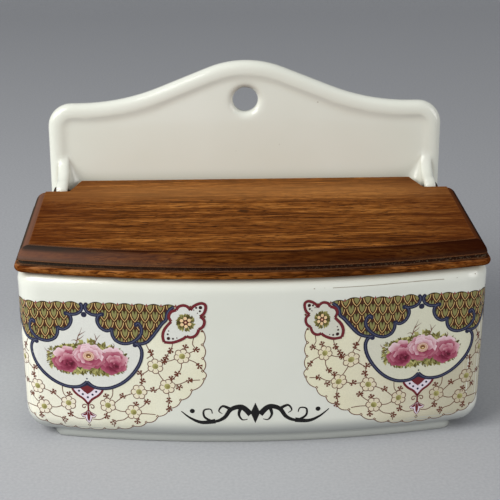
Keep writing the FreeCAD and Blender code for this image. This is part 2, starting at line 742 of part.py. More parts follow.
def make_lid():
    body = new_body("wooden_lid")
    half_width = size.lid_width / 2

    def lid_outline(name, height, side_inset, front_inset, corner):
        return bow_outline(
            body,
            name,
            height,
            half_width - side_inset,
            lid_front_y + front_inset,
            lid_back_y,
            size.lid_bow_radius - front_inset,
            corner,
        )

    def moulded_edge(height):
        return lambda edge: at_height(edge, height) and not at_depth(edge, lid_back_y)

    # the round bead at the bottom
    no_inset = size.ovolo_inset_width * 0
    bead_outline = lid_outline("bead_outline", rim_z, no_inset, no_inset, size.lid_corner_radius)
    bead = add_pad(body, "bead", bead_outline, size.bead_height)
    lower_bead = add_round(body, "bead_lower_round", bead, moulded_edge(rim_z), size.bead_radius)
    add_round(body, "bead_upper_round", lower_bead, moulded_edge(groove_z), size.bead_radius)

    # the groove above it
    groove_inset = size.groove_inset_width
    groove_corner = size.lid_corner_radius - groove_inset
    groove_outline = lid_outline("groove_outline", rim_z, groove_inset, groove_inset, groove_corner)
    add_pad(body, "groove", groove_outline, ovolo_z - rim_z + size.groove_overlap_height)

    # the quarter round, drawn out flat, wider in front than at the ends
    ovolo_corner = size.lid_corner_radius - size.ovolo_inset_width
    shares = zip(OVOLO_WIDTH_SHARES, OVOLO_HEIGHT_SHARES, OVOLO_CORNER_SHARES)
    levels = [
        lid_outline(
            f"ovolo_level_{step}",
            ovolo_z + size.ovolo_height * height_share,
            size.ovolo_inset_width + size.ovolo_side_width * width_share,
            size.ovolo_inset_width + size.ovolo_front_depth * width_share,
            ovolo_corner * corner_share,
        )
        for step, (width_share, height_share, corner_share) in enumerate(shares)
    ]
    ovolo = body.newObject("PartDesign::AdditiveLoft", "ovolo")
    ovolo.Profile = levels[0]
    ovolo.Sections = levels[1:]
    doc.recompute()

    # the flat top stands up a little behind the moulding
    top_side = size.ovolo_inset_width + size.ovolo_side_width + size.quirk_width
    top_front = size.ovolo_inset_width + size.ovolo_front_depth + size.quirk_width
    top_outline = lid_outline("top_outline", rim_z, top_side, top_front, None)
    top = add_pad(body, "flat_top", top_outline, lid_top_z - rim_z)
    add_round(body, "arris_round", top, moulded_edge(lid_top_z), size.arris_radius)

    notched = add_pocket(body, "back_corners", notch_outline(body))

    def tongue_edge(edge):
        along_x = edge.BoundBox.XLength > PICK_TOLERANCE and edge.BoundBox.ZLength < PICK_TOLERANCE
        return along_x and at_depth(edge, lid_back_y)

    add_round(body, "tongue_round", notched, tongue_edge, size.tongue_edge_radius)

    # blind holes that grip the pins
    grip_end_x = pin_tip_x - size.pin_tip_clearance
    for name, side in (("left", -1), ("right", 1)):
        hole_end = grip_end_x if side > 0 else -grip_end_x
        sketch = new_sketch(body, f"{name}_pin_hole_outline", "YZ_Plane", hole_end)
        circle = Part.Circle(
            Vector(hinge_y.value, hinge_z.value, 0), Vector(0, 0, 1), size.pin_diameter.value / 2
        )
        hole = sketch.addGeometry(circle, False)
        drive(sketch, "hinge_y", hinge_y, "DistanceX", ORIGIN, START, hole, CENTRE)
        drive(sketch, "hinge_z", hinge_z, "DistanceY", ORIGIN, START, hole, CENTRE)
        drive(sketch, "hole_radius", size.pin_diameter / 2, "Radius", hole)
        add_pocket(body, f"{name}_pin_hole", sketch, backwards=side > 0)
    return body


# A hinge pin: a round-headed nail turned about its own axis

def make_pin(name, side):
    body = new_body(name)
    sketch = new_sketch(body, f"{name}_outline", "XY_Plane")
    shank = size.pin_diameter / 2
    head = size.pin_head_diameter / 2
    shoulder_x = pin_tip_x + size.pin_point_length
    edge_x = pin_seat_x + size.pin_head_edge_height
    dome_rise = (size.pin_head_height - size.pin_head_edge_height).value
    dome_radius = (head.value**2 + dome_rise**2) / (2 * dome_rise)
    dome_end_x = edge_x.value + dome_rise
    dome_centre = (dome_end_x - dome_radius, 0)
    tip = (pin_tip_x.value, 0)
    shank_start = (shoulder_x.value, shank.value)
    shank_end = (pin_seat_x.value, shank.value)
    head_under = (pin_seat_x.value, head.value)
    head_over = (edge_x.value, head.value)
    dome_end = (dome_end_x, 0)
    point_line = add_line(sketch, tip, shank_start)
    shank_line = add_line(sketch, shank_start, shank_end)
    under_line = add_line(sketch, shank_end, head_under)
    edge_line = add_line(sketch, head_under, head_over)
    dome = add_arc(sketch, dome_centre, dome_radius, 0, math.asin(head.value / dome_radius))
    axis_line = add_line(sketch, dome_end, tip)
    rule(sketch, "Coincident", point_line, END, shank_line, START)
    rule(sketch, "Coincident", shank_line, END, under_line, START)
    rule(sketch, "Coincident", under_line, END, edge_line, START)
    rule(sketch, "Coincident", edge_line, END, dome, END)
    rule(sketch, "Coincident", dome, START, axis_line, START)
    rule(sketch, "Coincident", axis_line, END, point_line, START)
    rule(sketch, "Horizontal", shank_line)
    rule(sketch, "Vertical", under_line)
    rule(sketch, "Horizontal", edge_line)
    rule(sketch, "PointOnObject", axis_line, START, ORIGIN)
    rule(sketch, "PointOnObject", axis_line, END, ORIGIN)
    rule(sketch, "PointOnObject", dome, CENTRE, ORIGIN)
    drive(sketch, "tip", pin_tip_x, "DistanceX", ORIGIN, START, point_line, START)
    drive(sketch, "point", size.pin_point_length, "DistanceX", point_line, START, point_line, END)
    drive(sketch, "seat", pin_seat_x, "DistanceX", ORIGIN, START, under_line, START)
    drive(sketch, "shank_radius", shank, "DistanceY", ORIGIN, START, shank_line, START)
    drive(sketch, "head_radius", head, "DistanceY", ORIGIN, START, edge_line, START)
    drive(sketch, "head_edge", size.pin_head_edge_height, "DistanceX", edge_line, START, edge_line, END)
    drive(sketch, "head_height", size.pin_head_height, "DistanceX", under_line, START, dome, START)
    turned = body.newObject("PartDesign::Revolution", f"{name}_turned")
    turned.Profile = sketch
    turned.ReferenceAxis = (sketch, ["H_Axis"])
    if side < 0:
        body.Placement.Rotation = Rotation(Vector(0, 0, 1), 180)
    body.setExpression("Placement.Base.y", hinge_y.text)
    body.setExpression("Placement.Base.z", hinge_z.text)
    doc.recompute()
    return body


pieces = [
    make_porcelain(),
    make_lid(),
    make_pin("hinge_pin_left", -1),
    make_pin("hinge_pin_right", 1),
]
doc.recompute()

for item in doc.Objects:
    if "Invalid" in item.State or "Error" in item.State:
        raise RuntimeError(f"{item.Label} did not compute: {item.State}")
for piece in pieces:
    if piece.Shape.isNull() or not piece.Shape.isValid() or len(piece.Shape.Solids) != 1:
        raise RuntimeError(f"{piece.Label} is not one valid solid")

os.makedirs("parts", exist_ok=True)
for piece in pieces:
    piece.Shape.exportStep(f"parts/{piece.Label}.step")
    box = piece.Shape.BoundBox
    print(
        f"{piece.Label}: {box.XLength:.2f} x {box.YLength:.2f} x {box.ZLength:.2f} mm, "
        f"{piece.Shape.Volume / 1000:.1f} cubic centimetres"
    )
print(f"hinge line at y {hinge_y.value:.2f}, z {hinge_z.value:.2f}; lid top at {lid_top_z.value:.2f}")
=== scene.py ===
# %% [markdown]
# A porcelain match box with a wooden lid.
# The box hangs on a kitchen wall or stands on a shelf. One white casting makes the box, the tall back
# and the two ears; a moulded board closes it and turns on two nails. A printed band of colour sits
# under the glaze on both front corners.
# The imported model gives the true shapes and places. This lesson adds the light, the finishes and the print.

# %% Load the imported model
import random
from math import asin, atan2, ceil, copysign, cos, dist, exp, hypot, pi, sin, sqrt

import bpy
from mathutils import Matrix, Vector
from mathutils.bvhtree import BVHTree
from mathutils.geometry import delaunay_2d_cdt


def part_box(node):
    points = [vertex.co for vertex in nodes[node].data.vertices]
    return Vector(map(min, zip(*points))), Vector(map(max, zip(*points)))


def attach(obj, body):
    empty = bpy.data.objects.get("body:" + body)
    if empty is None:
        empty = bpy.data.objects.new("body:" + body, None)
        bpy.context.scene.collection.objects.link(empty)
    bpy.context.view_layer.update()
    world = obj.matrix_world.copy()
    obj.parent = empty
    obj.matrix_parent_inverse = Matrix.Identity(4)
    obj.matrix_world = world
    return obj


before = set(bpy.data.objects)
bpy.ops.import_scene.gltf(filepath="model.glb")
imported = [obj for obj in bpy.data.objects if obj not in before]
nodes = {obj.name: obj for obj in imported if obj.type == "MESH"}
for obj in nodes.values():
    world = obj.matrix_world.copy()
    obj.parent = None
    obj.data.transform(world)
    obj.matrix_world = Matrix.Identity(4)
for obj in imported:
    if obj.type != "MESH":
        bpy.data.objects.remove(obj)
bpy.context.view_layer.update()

print("pieces in the frame:", sorted(nodes))

# %% [markdown]
# The camera. The photograph looks down on the box a little, from just left of the middle, with a long
# lens. A camera can be aimed with a target empty or with angles. Angles are used here because a turn, a
# tilt and a small roll are the three numbers that were worked out from the corners of the lid.

# %% Camera
CAMERA_PLACE = Vector((-0.01786, -0.47353, 0.22812))
CAMERA_TURN = 0.03774
CAMERA_TILT = 0.35033
CAMERA_ROLL = -0.0015
LENS_MM, SENSOR_MM = 100.8, 36.0


def add_object(name, data):
    """Puts a camera, a lamp or a mesh into the scene."""
    made = bpy.data.objects.new(name, data)
    bpy.context.scene.collection.objects.link(made)
    return made


camera_data = bpy.data.cameras.new("photo_camera")
camera_data.lens = LENS_MM
camera_data.sensor_width = SENSOR_MM
camera = add_object("photo_camera", camera_data)
turn = Matrix.Rotation(-CAMERA_TURN, 4, "Z")
tilt = Matrix.Rotation(pi / 2 - CAMERA_TILT, 4, "X")
roll = Matrix.Rotation(CAMERA_ROLL, 4, "Z")
camera.matrix_world = Matrix.Translation(CAMERA_PLACE) @ turn @ tilt @ roll
bpy.context.scene.camera = camera
print("camera stands", round(CAMERA_PLACE.length, 3), "m from the origin")

# %% [markdown]
# Helpers for finishes. A Blender material is a small network of nodes. Building one by hand repeats the
# same three steps: add a node, set its numbers, link it to the next. A tiny class keeps these steps short,
# so that each finish below reads like a recipe.

# %% Finish helper
def srgb(red, green, blue):
    """A colour as a paint program writes it, turned into the linear light that Blender works in."""
    def linear(value):
        share = value / 255
        return share / 12.92 if share <= 0.04045 else ((share + 0.055) / 1.055) ** 2.4
    return (linear(red), linear(green), linear(blue), 1.0)


class Finish:
    """One material with short calls for its nodes."""

    def __init__(self, name, roughness, **settings):
        self.material = bpy.data.materials.new(name)
        self.material.use_nodes = True
        self.tree = self.material.node_tree
        self.surface = self.tree.nodes["Principled BSDF"]
        self.surface.inputs["Roughness"].default_value = roughness
        for socket, value in settings.items():
            self.surface.inputs[socket.replace("_", " ")].default_value = value

    def feed(self, socket, value):
        """Links a socket to another one, or sets its value."""
        if isinstance(value, bpy.types.NodeSocket):
            self.tree.links.new(value, socket)
        else:
            socket.default_value = value

    def node(self, kind, inputs=None, **settings):
        made = self.tree.nodes.new(kind)
        for name, value in settings.items():
            setattr(made, name, value)
        for name, value in (inputs or {}).items():
            self.feed(made.inputs[name], value)
        return made

    def place(self, stretch=(1, 1, 1), shift=(0, 0, 0)):
        """A point of the piece itself, stretched, so that the pattern moves with the piece."""
        point = self.node("ShaderNodeTexCoord").outputs["Object"]
        inputs = {"Vector": point, "Scale": stretch, "Location": shift}
        return self.node("ShaderNodeMapping", inputs).outputs["Vector"]

    def axes(self, vector):
        return self.node("ShaderNodeSeparateXYZ", {"Vector": vector}).outputs

    def noise(self, place, scale, detail=3.0, roughness=0.5, distortion=0.0):
        inputs = {"Vector": place, "Scale": scale, "Detail": detail, "Roughness": roughness, "Distortion": distortion}
        return self.node("ShaderNodeTexNoise", inputs).outputs["Fac"]

    def ramp(self, share, stops):
        """Colours or greys along a share from 0 to 1."""
        made = self.node("ShaderNodeValToRGB", {"Fac": share})
        points = made.color_ramp.elements
        while len(points) < len(stops):
            points.new(1.0)
        for point, (place, colour) in zip(points, stops):
            point.position = place
            point.color = colour if isinstance(colour, tuple) else (colour, colour, colour, 1)
        return made.outputs["Color"]

    def mix(self, share, first, second, blend="MIX"):
        """Two colours mixed. The node keeps its colours in sockets 6 and 7 and its result in socket 2."""
        made = self.node("ShaderNodeMix", data_type="RGBA", blend_type=blend)
        for socket, value in ((0, share), (6, first), (7, second)):
            self.feed(made.inputs[socket], value)
        return made.outputs[2]

    def sum(self, operation, *values):
        made = self.node("ShaderNodeMath", operation=operation)
        for socket, value in zip(made.inputs, values):
            self.feed(socket, value)
        return made.outputs[0]

    def times(self, first, second):
        return self.sum("MULTIPLY", first, second)

    def paint(self, colour):
        self.tree.links.new(colour, self.surface.inputs["Base Color"])

    def polish(self, roughness):
        self.tree.links.new(roughness, self.surface.inputs["Roughness"])

    def bump(self, height, distance, strength=1.0, rounding=0.0):
        made = self.node("ShaderNodeBump", {"Height": height, "Distance": distance, "Strength": strength})
        if rounding:
            soft = self.node("ShaderNodeBevel", {"Radius": rounding}, samples=8)
            self.tree.links.new(soft.outputs["Normal"], made.inputs["Normal"])
        self.tree.links.new(made.outputs["Normal"], self.surface.inputs["Normal"])


def dress(piece, finish):
    piece.data.materials.clear()
    piece.data.materials.append(finish.material)


print("finish helper ready")

# %% [markdown]
# The table and the light. The real box stands on grey paper that sweeps up behind it, with a window on
# the left. A sweep is one strip: flat, then a quarter round, then upright. Large soft lamps give the
# window light; a dim world fills the shadows. All of it stays at a plain level.

# %% Paper sweep
def add_mesh(name, verts, faces):
    """A smooth piece from its points and faces."""
    mesh = bpy.data.meshes.new(name)
    mesh.from_pydata(verts, [], faces)
    mesh.shade_smooth()
    return add_object(name, mesh)


def make_sweep():
    half_width, front, bend, radius, top, steps = 2.2, -1.6, 0.75, 0.6, 2.4, 12
    profile = [(front, 0.0), (-0.4, 0.0), (0.3, 0.0), (bend, 0.0)]
    for step in range(1, steps + 1):
        angle = step / steps * pi / 2
        profile.append((bend + radius * sin(angle), radius - radius * cos(angle)))
    profile.append((bend + radius, top))
    verts = [(side * half_width, y, z) for y, z in profile for side in (-1, 1)]
    faces = [(2 * i, 2 * i + 1, 2 * i + 3, 2 * i + 2) for i in range(len(profile) - 1)]
    return add_mesh("paper_sweep", verts, faces)


paper = Finish("pale_paper", 0.85)
paper_fibre = paper.noise(paper.place(), 900.0, 2.0)
paper.paint(paper.ramp(paper_fibre, [(0.3, srgb(168, 170, 174)), (0.7, srgb(178, 180, 183))]))
sweep = make_sweep()
dress(sweep, paper)
print("paper sweep:", len(sweep.data.polygons), "faces")

# %% Lamps
WINDOW_LIGHT, ROOM_LIGHT = (1.0, 0.99, 0.96), (1.0, 0.97, 0.93)
ON_THE_BOX = (0, 0, 0.05)


def add_lamp(name, place, target, size, power, colour):
    lamp = bpy.data.lights.new(name, "AREA")
    lamp.shape = "RECTANGLE"
    lamp.size, lamp.size_y = size
    lamp.energy = power
    lamp.color = colour
    holder = add_object(name, lamp)
    holder.location = place
    aim = Vector(target) - Vector(place)
    holder.rotation_euler = aim.to_track_quat("-Z", "Y").to_euler()


add_lamp("window_left", (-0.58, -0.44, 0.6), ON_THE_BOX, (0.55, 0.5), 5.8, WINDOW_LIGHT)
add_lamp("fill_right", (1.3, -0.7, 0.45), ON_THE_BOX, (0.9, 0.9), 7.3, ROOM_LIGHT)
add_lamp("window_edge", (-0.5, -0.15, 0.3), (-0.03, 0.02, 0.06), (0.25, 0.25), 1.05, WINDOW_LIGHT)
world = bpy.data.worlds.new("room")
bpy.context.scene.world = world
world.use_nodes = True
sky = world.node_tree.nodes["Background"].inputs
sky["Color"].default_value = (0.93, 0.95, 1.0, 1)
sky["Strength"].default_value = 0.36
bpy.context.scene.view_settings.view_transform = "Standard"
print("three lamps and a dim room")

# %% [markdown]
# The glaze. Real porcelain is creamy white under a clear, glossy skin that pools a little and yellows
# in the corners. One could model every drip. A soft large noise for the tint, a slow bump for the pooled
# skin, a bevel node that lets the light roll over the edges and a crevice tint from the ambient occlusion
# node give the same look with the casting's own shape. The crevice tint is yellowing and painted shade;
# the glaze is also painted darker near the foot and on faces that turn downwards, as painted shade.

# %% Porcelain glaze
PER_CM = 100.0
glaze = Finish("porcelain_glaze", 0.1, Coat_Weight=0.3, Coat_Roughness=0.04)
glaze_cloud = glaze.noise(glaze.place(), 22.0, 3.0)
glaze_white = glaze.ramp(glaze_cloud, [(0.3, srgb(224, 226, 214)), (0.7, srgb(231, 233, 223))])
# Yellowing and painted shade: the glaze darkens where the ambient occlusion finds a crevice.
crevice = glaze.node("ShaderNodeAmbientOcclusion", {"Distance": 0.005}, samples=8).outputs["AO"]
crevice_yellowing_and_shade = glaze.ramp(crevice, [(0.4, 1.0), (0.9, 0.0)])
glaze_crevice_shaded = glaze.mix(crevice_yellowing_and_shade, glaze_white, srgb(208, 204, 186))
# Painted shade: faces that turn downwards are darker.
facing = glaze.node("ShaderNodeNewGeometry").outputs["Normal"]
facing_up = glaze.axes(facing)["Z"]
underside_shade_share = glaze.ramp(glaze.times(facing_up, -1.0), [(0.1, 0.0), (0.9, 1.0)])
# Painted shade: the glaze is darker and greyer near the foot.
height = glaze.axes(glaze.place())["Z"]
foot_shade_share = glaze.ramp(glaze.times(height, PER_CM), [(0.55, 0.75), (1.0, 0.1)])
glaze_foot_shaded = glaze.mix(foot_shade_share, glaze_crevice_shaded, srgb(184, 189, 186))
glaze_underside_shaded = glaze.mix(underside_shade_share, glaze_foot_shaded, srgb(170, 173, 170))
speck = glaze.ramp(glaze.noise(glaze.place(), 420.0, 0.0), [(0.9, 0.0), (0.93, 0.5)])
glaze.paint(glaze.mix(speck, glaze_underside_shaded, srgb(150, 140, 122)))
glaze.bump(glaze.noise(glaze.place(), 38.0, 1.0), 0.0006, 0.12, rounding=0.0034)
dress(nodes["porcelain_body"], glaze)
print("glaze on the casting")

# %% [markdown]
# The lid. It is a plank of brown hardwood, stained and waxed: fine dark pores run along its length, the
# middle has worn golden and the ends have stayed dark. The moulding is dark with stain and painted shade,
# and the groove holds dust and painted shade. Noise that is stretched along the grain gives the streaks.
# Heights on the piece pick out the moulding, as a share from the rim of the box to the top of the board.
# Patches on the moulding add more painted shade, a painted highlight on the bead and painted sheen with
# dust at the left end.

# %% Waxed wood
RIM_Z, TOP_Z = 0.0617, 0.0696
FRONT_Y, NOTCH_Y, END_X = -0.031, 0.0262, 0.0735
HALF_WIDTH, HALF_DEPTH = 0.08, 0.04
wood = Finish("waxed_wood", 0.5, Specular_IOR_Level=0.004)
point = wood.axes(wood.place())
bands = wood.noise(wood.place((9.0, 130.0, 130.0)), 1.0, 3.0, 0.55, 0.2)
streaks = wood.noise(wood.place((95.0, 1000.0, 1000.0)), 1.0, 4.0, 0.62, 0.12)
pores = wood.noise(wood.place((260.0, 2300.0, 2300.0)), 1.0, 2.0, 0.6)
grain = wood.sum("MULTIPLY_ADD", bands, 0.45, wood.times(streaks, 0.55))
wood_base = wood.ramp(
    grain,
    [(0.38, srgb(58, 28, 8)), (0.46, srgb(103, 57, 20)), (0.53, srgb(132, 78, 30)), (0.61, srgb(170, 110, 50))],
)
pore_share = wood.ramp(pores, [(0.38, 0.95), (0.46, 0.0)])
wood_pored = wood.mix(pore_share, wood_base, srgb(56, 27, 9))
to_back = wood.times(point["Y"], 1 / HALF_DEPTH)
back_share = wood.ramp(to_back, [(0.25, 0.0), (0.5, 0.45), (0.66, 0.5), (0.78, 0.3), (1.0, 0.1)])
wood_faded = wood.mix(back_share, wood_pored, srgb(172, 118, 66))
from_middle = wood.times(point["X"], 1 / HALF_WIDTH)
end_share = wood.ramp(wood.sum("ABSOLUTE", from_middle), [(0.55, 0.0), (1.0, 0.65)])
wood_ends = wood.mix(end_share, wood_faded, srgb(88, 42, 16))


def wood_mark(base, x, y, wide, deep, share):
    """A dark knot or fleck on the board, in millimetres, with a soft rim."""
    stretch = (1000 / wide, 1000 / deep, 0)
    around = wood.place(stretch, (-x / wide, -y / deep, 0))
    wobble = wood.noise(around, 1.3, 2.0)
    away = wood.node("ShaderNodeVectorMath", {0: around}, operation="LENGTH").outputs["Value"]
    ragged = wood.sum("MULTIPLY_ADD", wobble, 0.7, away)
    return wood.mix(wood.ramp(ragged, [(0.7, share), (1.0, 0.35 * share), (1.0, 0.0)]), base, srgb(50, 28, 12))


MARKS = [(-2.4, 0.4, 3.6, 2.6, 0.85), (33.4, -13.3, 1.8, 0.6, 0.7), (62.6, -23.0, 1.6, 0.6, 0.7)]
wood_marked = wood_ends
for mark in MARKS:
    wood_marked = wood_mark(wood_marked, *mark)

front_part = wood.sum("LESS_THAN", point["Y"], NOTCH_Y)
height_span = wood.sum("DIVIDE", wood.sum("SUBTRACT", point["Z"], RIM_Z), TOP_Z - RIM_Z)
# Stain and painted shade: the groove and the moulding on the front are darker.
mould_stain_and_shade = wood.ramp(
    height_span,
    [(0.0, 0.1), (0.3, 0.12), (0.335, 1.0), (0.51, 1.0), (0.58, 0.6), (0.92, 0.58), (0.955, 0.95), (0.985, 0.95),
     (1.0, 0.0)],
)
front_mould_stain_and_shade = wood.times(mould_stain_and_shade, front_part)
wood_mould_stained_and_shaded = wood.mix(front_mould_stain_and_shade, wood_marked, srgb(44, 18, 7))


def lid_patch(base, heights, spots, share, colour):
    """Colours the lid where a belt of heights and a mask meet, in front of the cut-out corners.
    The belt fades in between its first two heights and out between its last two."""
    belt = wood.ramp(height_span, list(zip(heights, (0.0, 1.0, 1.0, 0.0))))
    here = wood.times(wood.times(belt, spots), front_part)
    return wood.mix(wood.times(here, share), base, srgb(*colour))


leftward = wood.times(from_middle, -1.0)
to_left = wood.ramp(leftward, [(0.2, 0.0), (1.0, 1.0)])
far_left = wood.ramp(leftward, [(0.5, 0.0), (0.82, 1.0)])
to_right = wood.ramp(from_middle, [(0.0, 0.0), (0.9, 1.0)])
behind_front = wood.sum("GREATER_THAN", point["Y"], FRONT_Y)
left_end = wood.times(wood.sum("LESS_THAN", point["X"], -END_X), behind_front)
right_end = wood.times(wood.sum("GREATER_THAN", point["X"], END_X), behind_front)
left_front = wood.times(wood.sum("LESS_THAN", point["Y"], FRONT_Y), far_left)
specks = wood.ramp(wood.noise(wood.place(), 1500.0, 2.0), [(0.52, 0.0), (0.62, 1.0)])
leftward_highlight_weight = wood.sum("MULTIPLY_ADD", to_left, 0.7, 0.3)
groove_dirt_and_shade_weight = wood.sum("MULTIPLY_ADD", to_left, 0.75, 0.25)
dusty = wood.times(specks, wood.sum("MULTIPLY_ADD", to_right, 0.75, 0.25))
bead_wear_and_highlight = wood.times(wood.ramp(streaks, [(0.48, 0.0), (0.6, 1.0)]), leftward_highlight_weight)
PATCHES = [
    ((0.3, 0.36, 0.94, 0.99), to_right, 0.85, (40, 13, 5)),
    # Dirt and painted shade: dark grey in the groove, more to the left.
    ((0.3, 0.34, 0.6, 0.72), groove_dirt_and_shade_weight, 0.9, (46, 42, 36)),
    ((0.32, 0.36, 0.49, 0.53), dusty, 0.5, (110, 96, 76)),
    # Dust and painted sheen: grey-purple on the ovolo, more to the left.
    ((0.5, 0.6, 0.9, 0.95), to_left, 0.55, (118, 88, 76)),
    # Wear and painted highlight: light flecks on the bead's top, more to the left.
    ((0.2, 0.27, 0.32, 0.34), bead_wear_and_highlight, 0.5, (168, 116, 76)),
    # Painted shade: a dark grey band at the top of the moulding on the far left of the front.
    ((0.82, 0.9, 0.985, 0.998), left_front, 0.9, (50, 44, 40)),
    # Dust and painted sheen: grey-purple on the upper left end.
    ((0.84, 0.9, 0.985, 0.998), left_end, 0.9, (112, 78, 62)),
    # Painted shadow: the lower left end is dark.
    ((0.0, 0.03, 0.8, 0.87), left_end, 0.9, (50, 44, 34)),
    ((0.84, 0.9, 0.985, 1.0), right_end, 0.9, (96, 50, 20)),
    # Painted shadow: the lower right end is dark.
    ((0.0, 0.03, 0.86, 0.95), right_end, 0.85, (34, 20, 10)),
]
wood_done = wood_mould_stained_and_shaded
for patch in PATCHES:
    wood_done = lid_patch(wood_done, *patch)
worn = wood.node("ShaderNodeBevel", {"Radius": 0.0009}, samples=6).outputs["Normal"]
true_side = wood.node("ShaderNodeNewGeometry").outputs["Normal"]
edge_turn = wood.node("ShaderNodeVectorMath", {0: worn, 1: true_side}, operation="DOT_PRODUCT").outputs["Value"]
edge_share = wood.ramp(edge_turn, [(0.8, 0.5), (0.97, 0.0)])
wood.paint(wood.mix(edge_share, wood_done, srgb(150, 98, 60)))
wood.polish(wood.ramp(grain, [(0.35, 0.58), (0.65, 0.42)]))
wood.bump(wood.sum("MULTIPLY_ADD", pores, 0.6, streaks), 0.00022, 0.4)
dress(nodes["wooden_lid"], wood)
print("wood on the lid, with", len(MARKS), "marks and", len(PATCHES), "patches")

# %% [markdown]
# The nails. Two round-headed nails, gone dark with age, are all that shows of the hinge. A dark metal
# with blotches of rust brown and a rough skin is enough at this size.

# %% Dark steel
steel = Finish("dark_steel", 0.5, Metallic=1.0)
rust = steel.noise(steel.place(), 1400.0, 3.0)
steel.paint(steel.ramp(rust, [(0.35, srgb(52, 48, 46)), (0.65, srgb(84, 66, 54))]))
steel.polish(steel.ramp(rust, [(0.3, 0.4), (0.7, 0.65)]))
for name in ("hinge_pin_left", "hinge_pin_right"):
    dress(nodes[name], steel)
print("steel on both nails")

# %% [markdown]
# Where the print lies. The print is drawn flat, as on the paper that it is transferred from: one number
# runs along the front, the other is the height. To lay a point on the box, the front outline is unrolled
# (a bow, a corner, a straight side), a ray is shot at the casting from outside, and the point stays a
# hair above the glaze. A projected image would smear over the corners; this doesn't.

# %% Lay a flat point on the casting
body_low, body_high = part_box("porcelain_body")
MM = 0.001
BOW_RADIUS = 309.35 * MM
CORNER_RADIUS = 10.0 * MM
INSET = 0.4 * MM
RAY_START = 0.03
half_front = body_high[0] - INSET
front_y = body_low[1] + INSET
bow_y = front_y + BOW_RADIUS
corner_x = half_front - CORNER_RADIUS
corner_y = bow_y - sqrt((BOW_RADIUS - CORNER_RADIUS) ** 2 - corner_x**2)
bow_angle = asin(corner_x / (BOW_RADIUS - CORNER_RADIUS))
bow_length = BOW_RADIUS * bow_angle
corner_length = CORNER_RADIUS * (pi / 2 - bow_angle)

casting = nodes["porcelain_body"]
casting_tree = BVHTree.FromPolygons(
    [v.co.copy() for v in casting.data.vertices],
    [tuple(p.vertices) for p in casting.data.polygons],
)


def outline_place(along):
    """The place and the outward direction on the front outline, at a length from its middle."""
    side = 1 if along >= 0 else -1
    length = abs(along)
    if length < bow_length:
        angle = length / BOW_RADIUS
        x, y = BOW_RADIUS * sin(angle), bow_y - BOW_RADIUS * cos(angle)
    elif length < bow_length + corner_length:
        angle = bow_angle + (length - bow_length) / CORNER_RADIUS
        x, y = corner_x + CORNER_RADIUS * sin(angle), corner_y - CORNER_RADIUS * cos(angle)
    else:
        angle = pi / 2
        x, y = half_front, corner_y + length - bow_length - corner_length
    return Vector((side * x, y, 0)), Vector((side * sin(angle), -cos(angle), 0))


def on_casting(along, height, lift):
    """A point a little above the glaze. All three are in millimetres."""
    place, outward = outline_place(along * MM)
    place.z = height * MM
    hit, normal, _, _ = casting_tree.ray_cast(place + outward * RAY_START, -outward)
    return hit + normal * (lift * MM)


print("front is", round(2 * bow_length / MM, 1), "mm along the bow")

# %% [markdown]
# Drawing tools. Every motif is one of three things: a filled shape, a line with a width, or a petal that
# fades from one tint to another. Each ink is collected as one sheet of small faces, because a printer
# also lays one colour after the other. Faces stay small, so that they follow the round corners.

# %% Drawing tools
HALVES = (1, -1)
FACE_SIZE = 0.9


def flipped(points, side):
    """The points as they are on the right half (1), or turned over to the left half (-1)."""
    return [(side * x, y) for x, y in points]


def whole(half):
    """A closed outline from its right half, which starts and ends on the middle line."""
    return half + flipped(half[-2:0:-1], -1)


def turns(count):
    """Angles all the way round, with the first place again at the end."""
    return [2 * pi * i / count for i in range(count + 1)]


def polar(x, y, far, angle, tall=1.0):
    """The place that lies that far from a place, at an angle."""
    return x + far * cos(angle), y + far * tall * sin(angle)


def sides_of(outline):
    return zip(outline, outline[1:] + outline[:1])


def spaced(outline, step):
    """The same outline with points no further apart than the step."""
    out = []
    for (x0, y0), (x1, y1) in sides_of(outline):
        count = max(1, ceil(hypot(x1 - x0, y1 - y0) / step))
        out += [(x0 + (x1 - x0) * i / count, y0 + (y1 - y0) * i / count) for i in range(count)]
    return out


def curved(points, step=0.4):
    """A smooth line through the points."""
    last = len(points) - 1
    out = []
    for i in range(last):
        a, b, c, d = (points[min(max(i + k, 0), last)] for k in (-1, 0, 1, 2))
        pieces = max(2, ceil(dist(b, c) / step))
        for j in range(pieces):
            t = j / pieces
            out.append(
                tuple(
                    0.5 * (2 * q + (r - p) * t + (2 * p - 5 * q + 4 * r - s) * t**2 + (3 * q - p - 3 * r + s) * t**3)
                    for p, q, r, s in zip(a, b, c, d)
                )
            )
    return out + [points[-1]]


def inside(x, y, outline):
    hit = False
    for (x0, y0), (x1, y1) in sides_of(outline):
        if (y0 > y) != (y1 > y) and x < (x1 - x0) * (y - y0) / (y1 - y0) + x0:
            hit = not hit
    return hit


def turns_left(outline):
    """True where the inside of the outline lies on the left of the way that it runs."""
    return sum(x0 * y1 - x1 * y0 for (x0, y0), (x1, y1) in sides_of(outline)) > 0


def line_sides(points, width, taper=False):
    """Both sides of a line with a width."""
    left, right = [], []
    for i, (x, y) in enumerate(points):
        x0, y0 = points[max(i - 1, 0)]
        x1, y1 = points[min(i + 1, len(points) - 1)]
        length = hypot(x1 - x0, y1 - y0) or 1.0
        half = width / 2 * (1 - 0.85 * i / (len(points) - 1) if taper else 1)
        nx, ny = -(y1 - y0) / length * half, (x1 - x0) / length * half
        left.append((x + nx, y + ny))
        right.append((x - nx, y - ny))
    return left, right


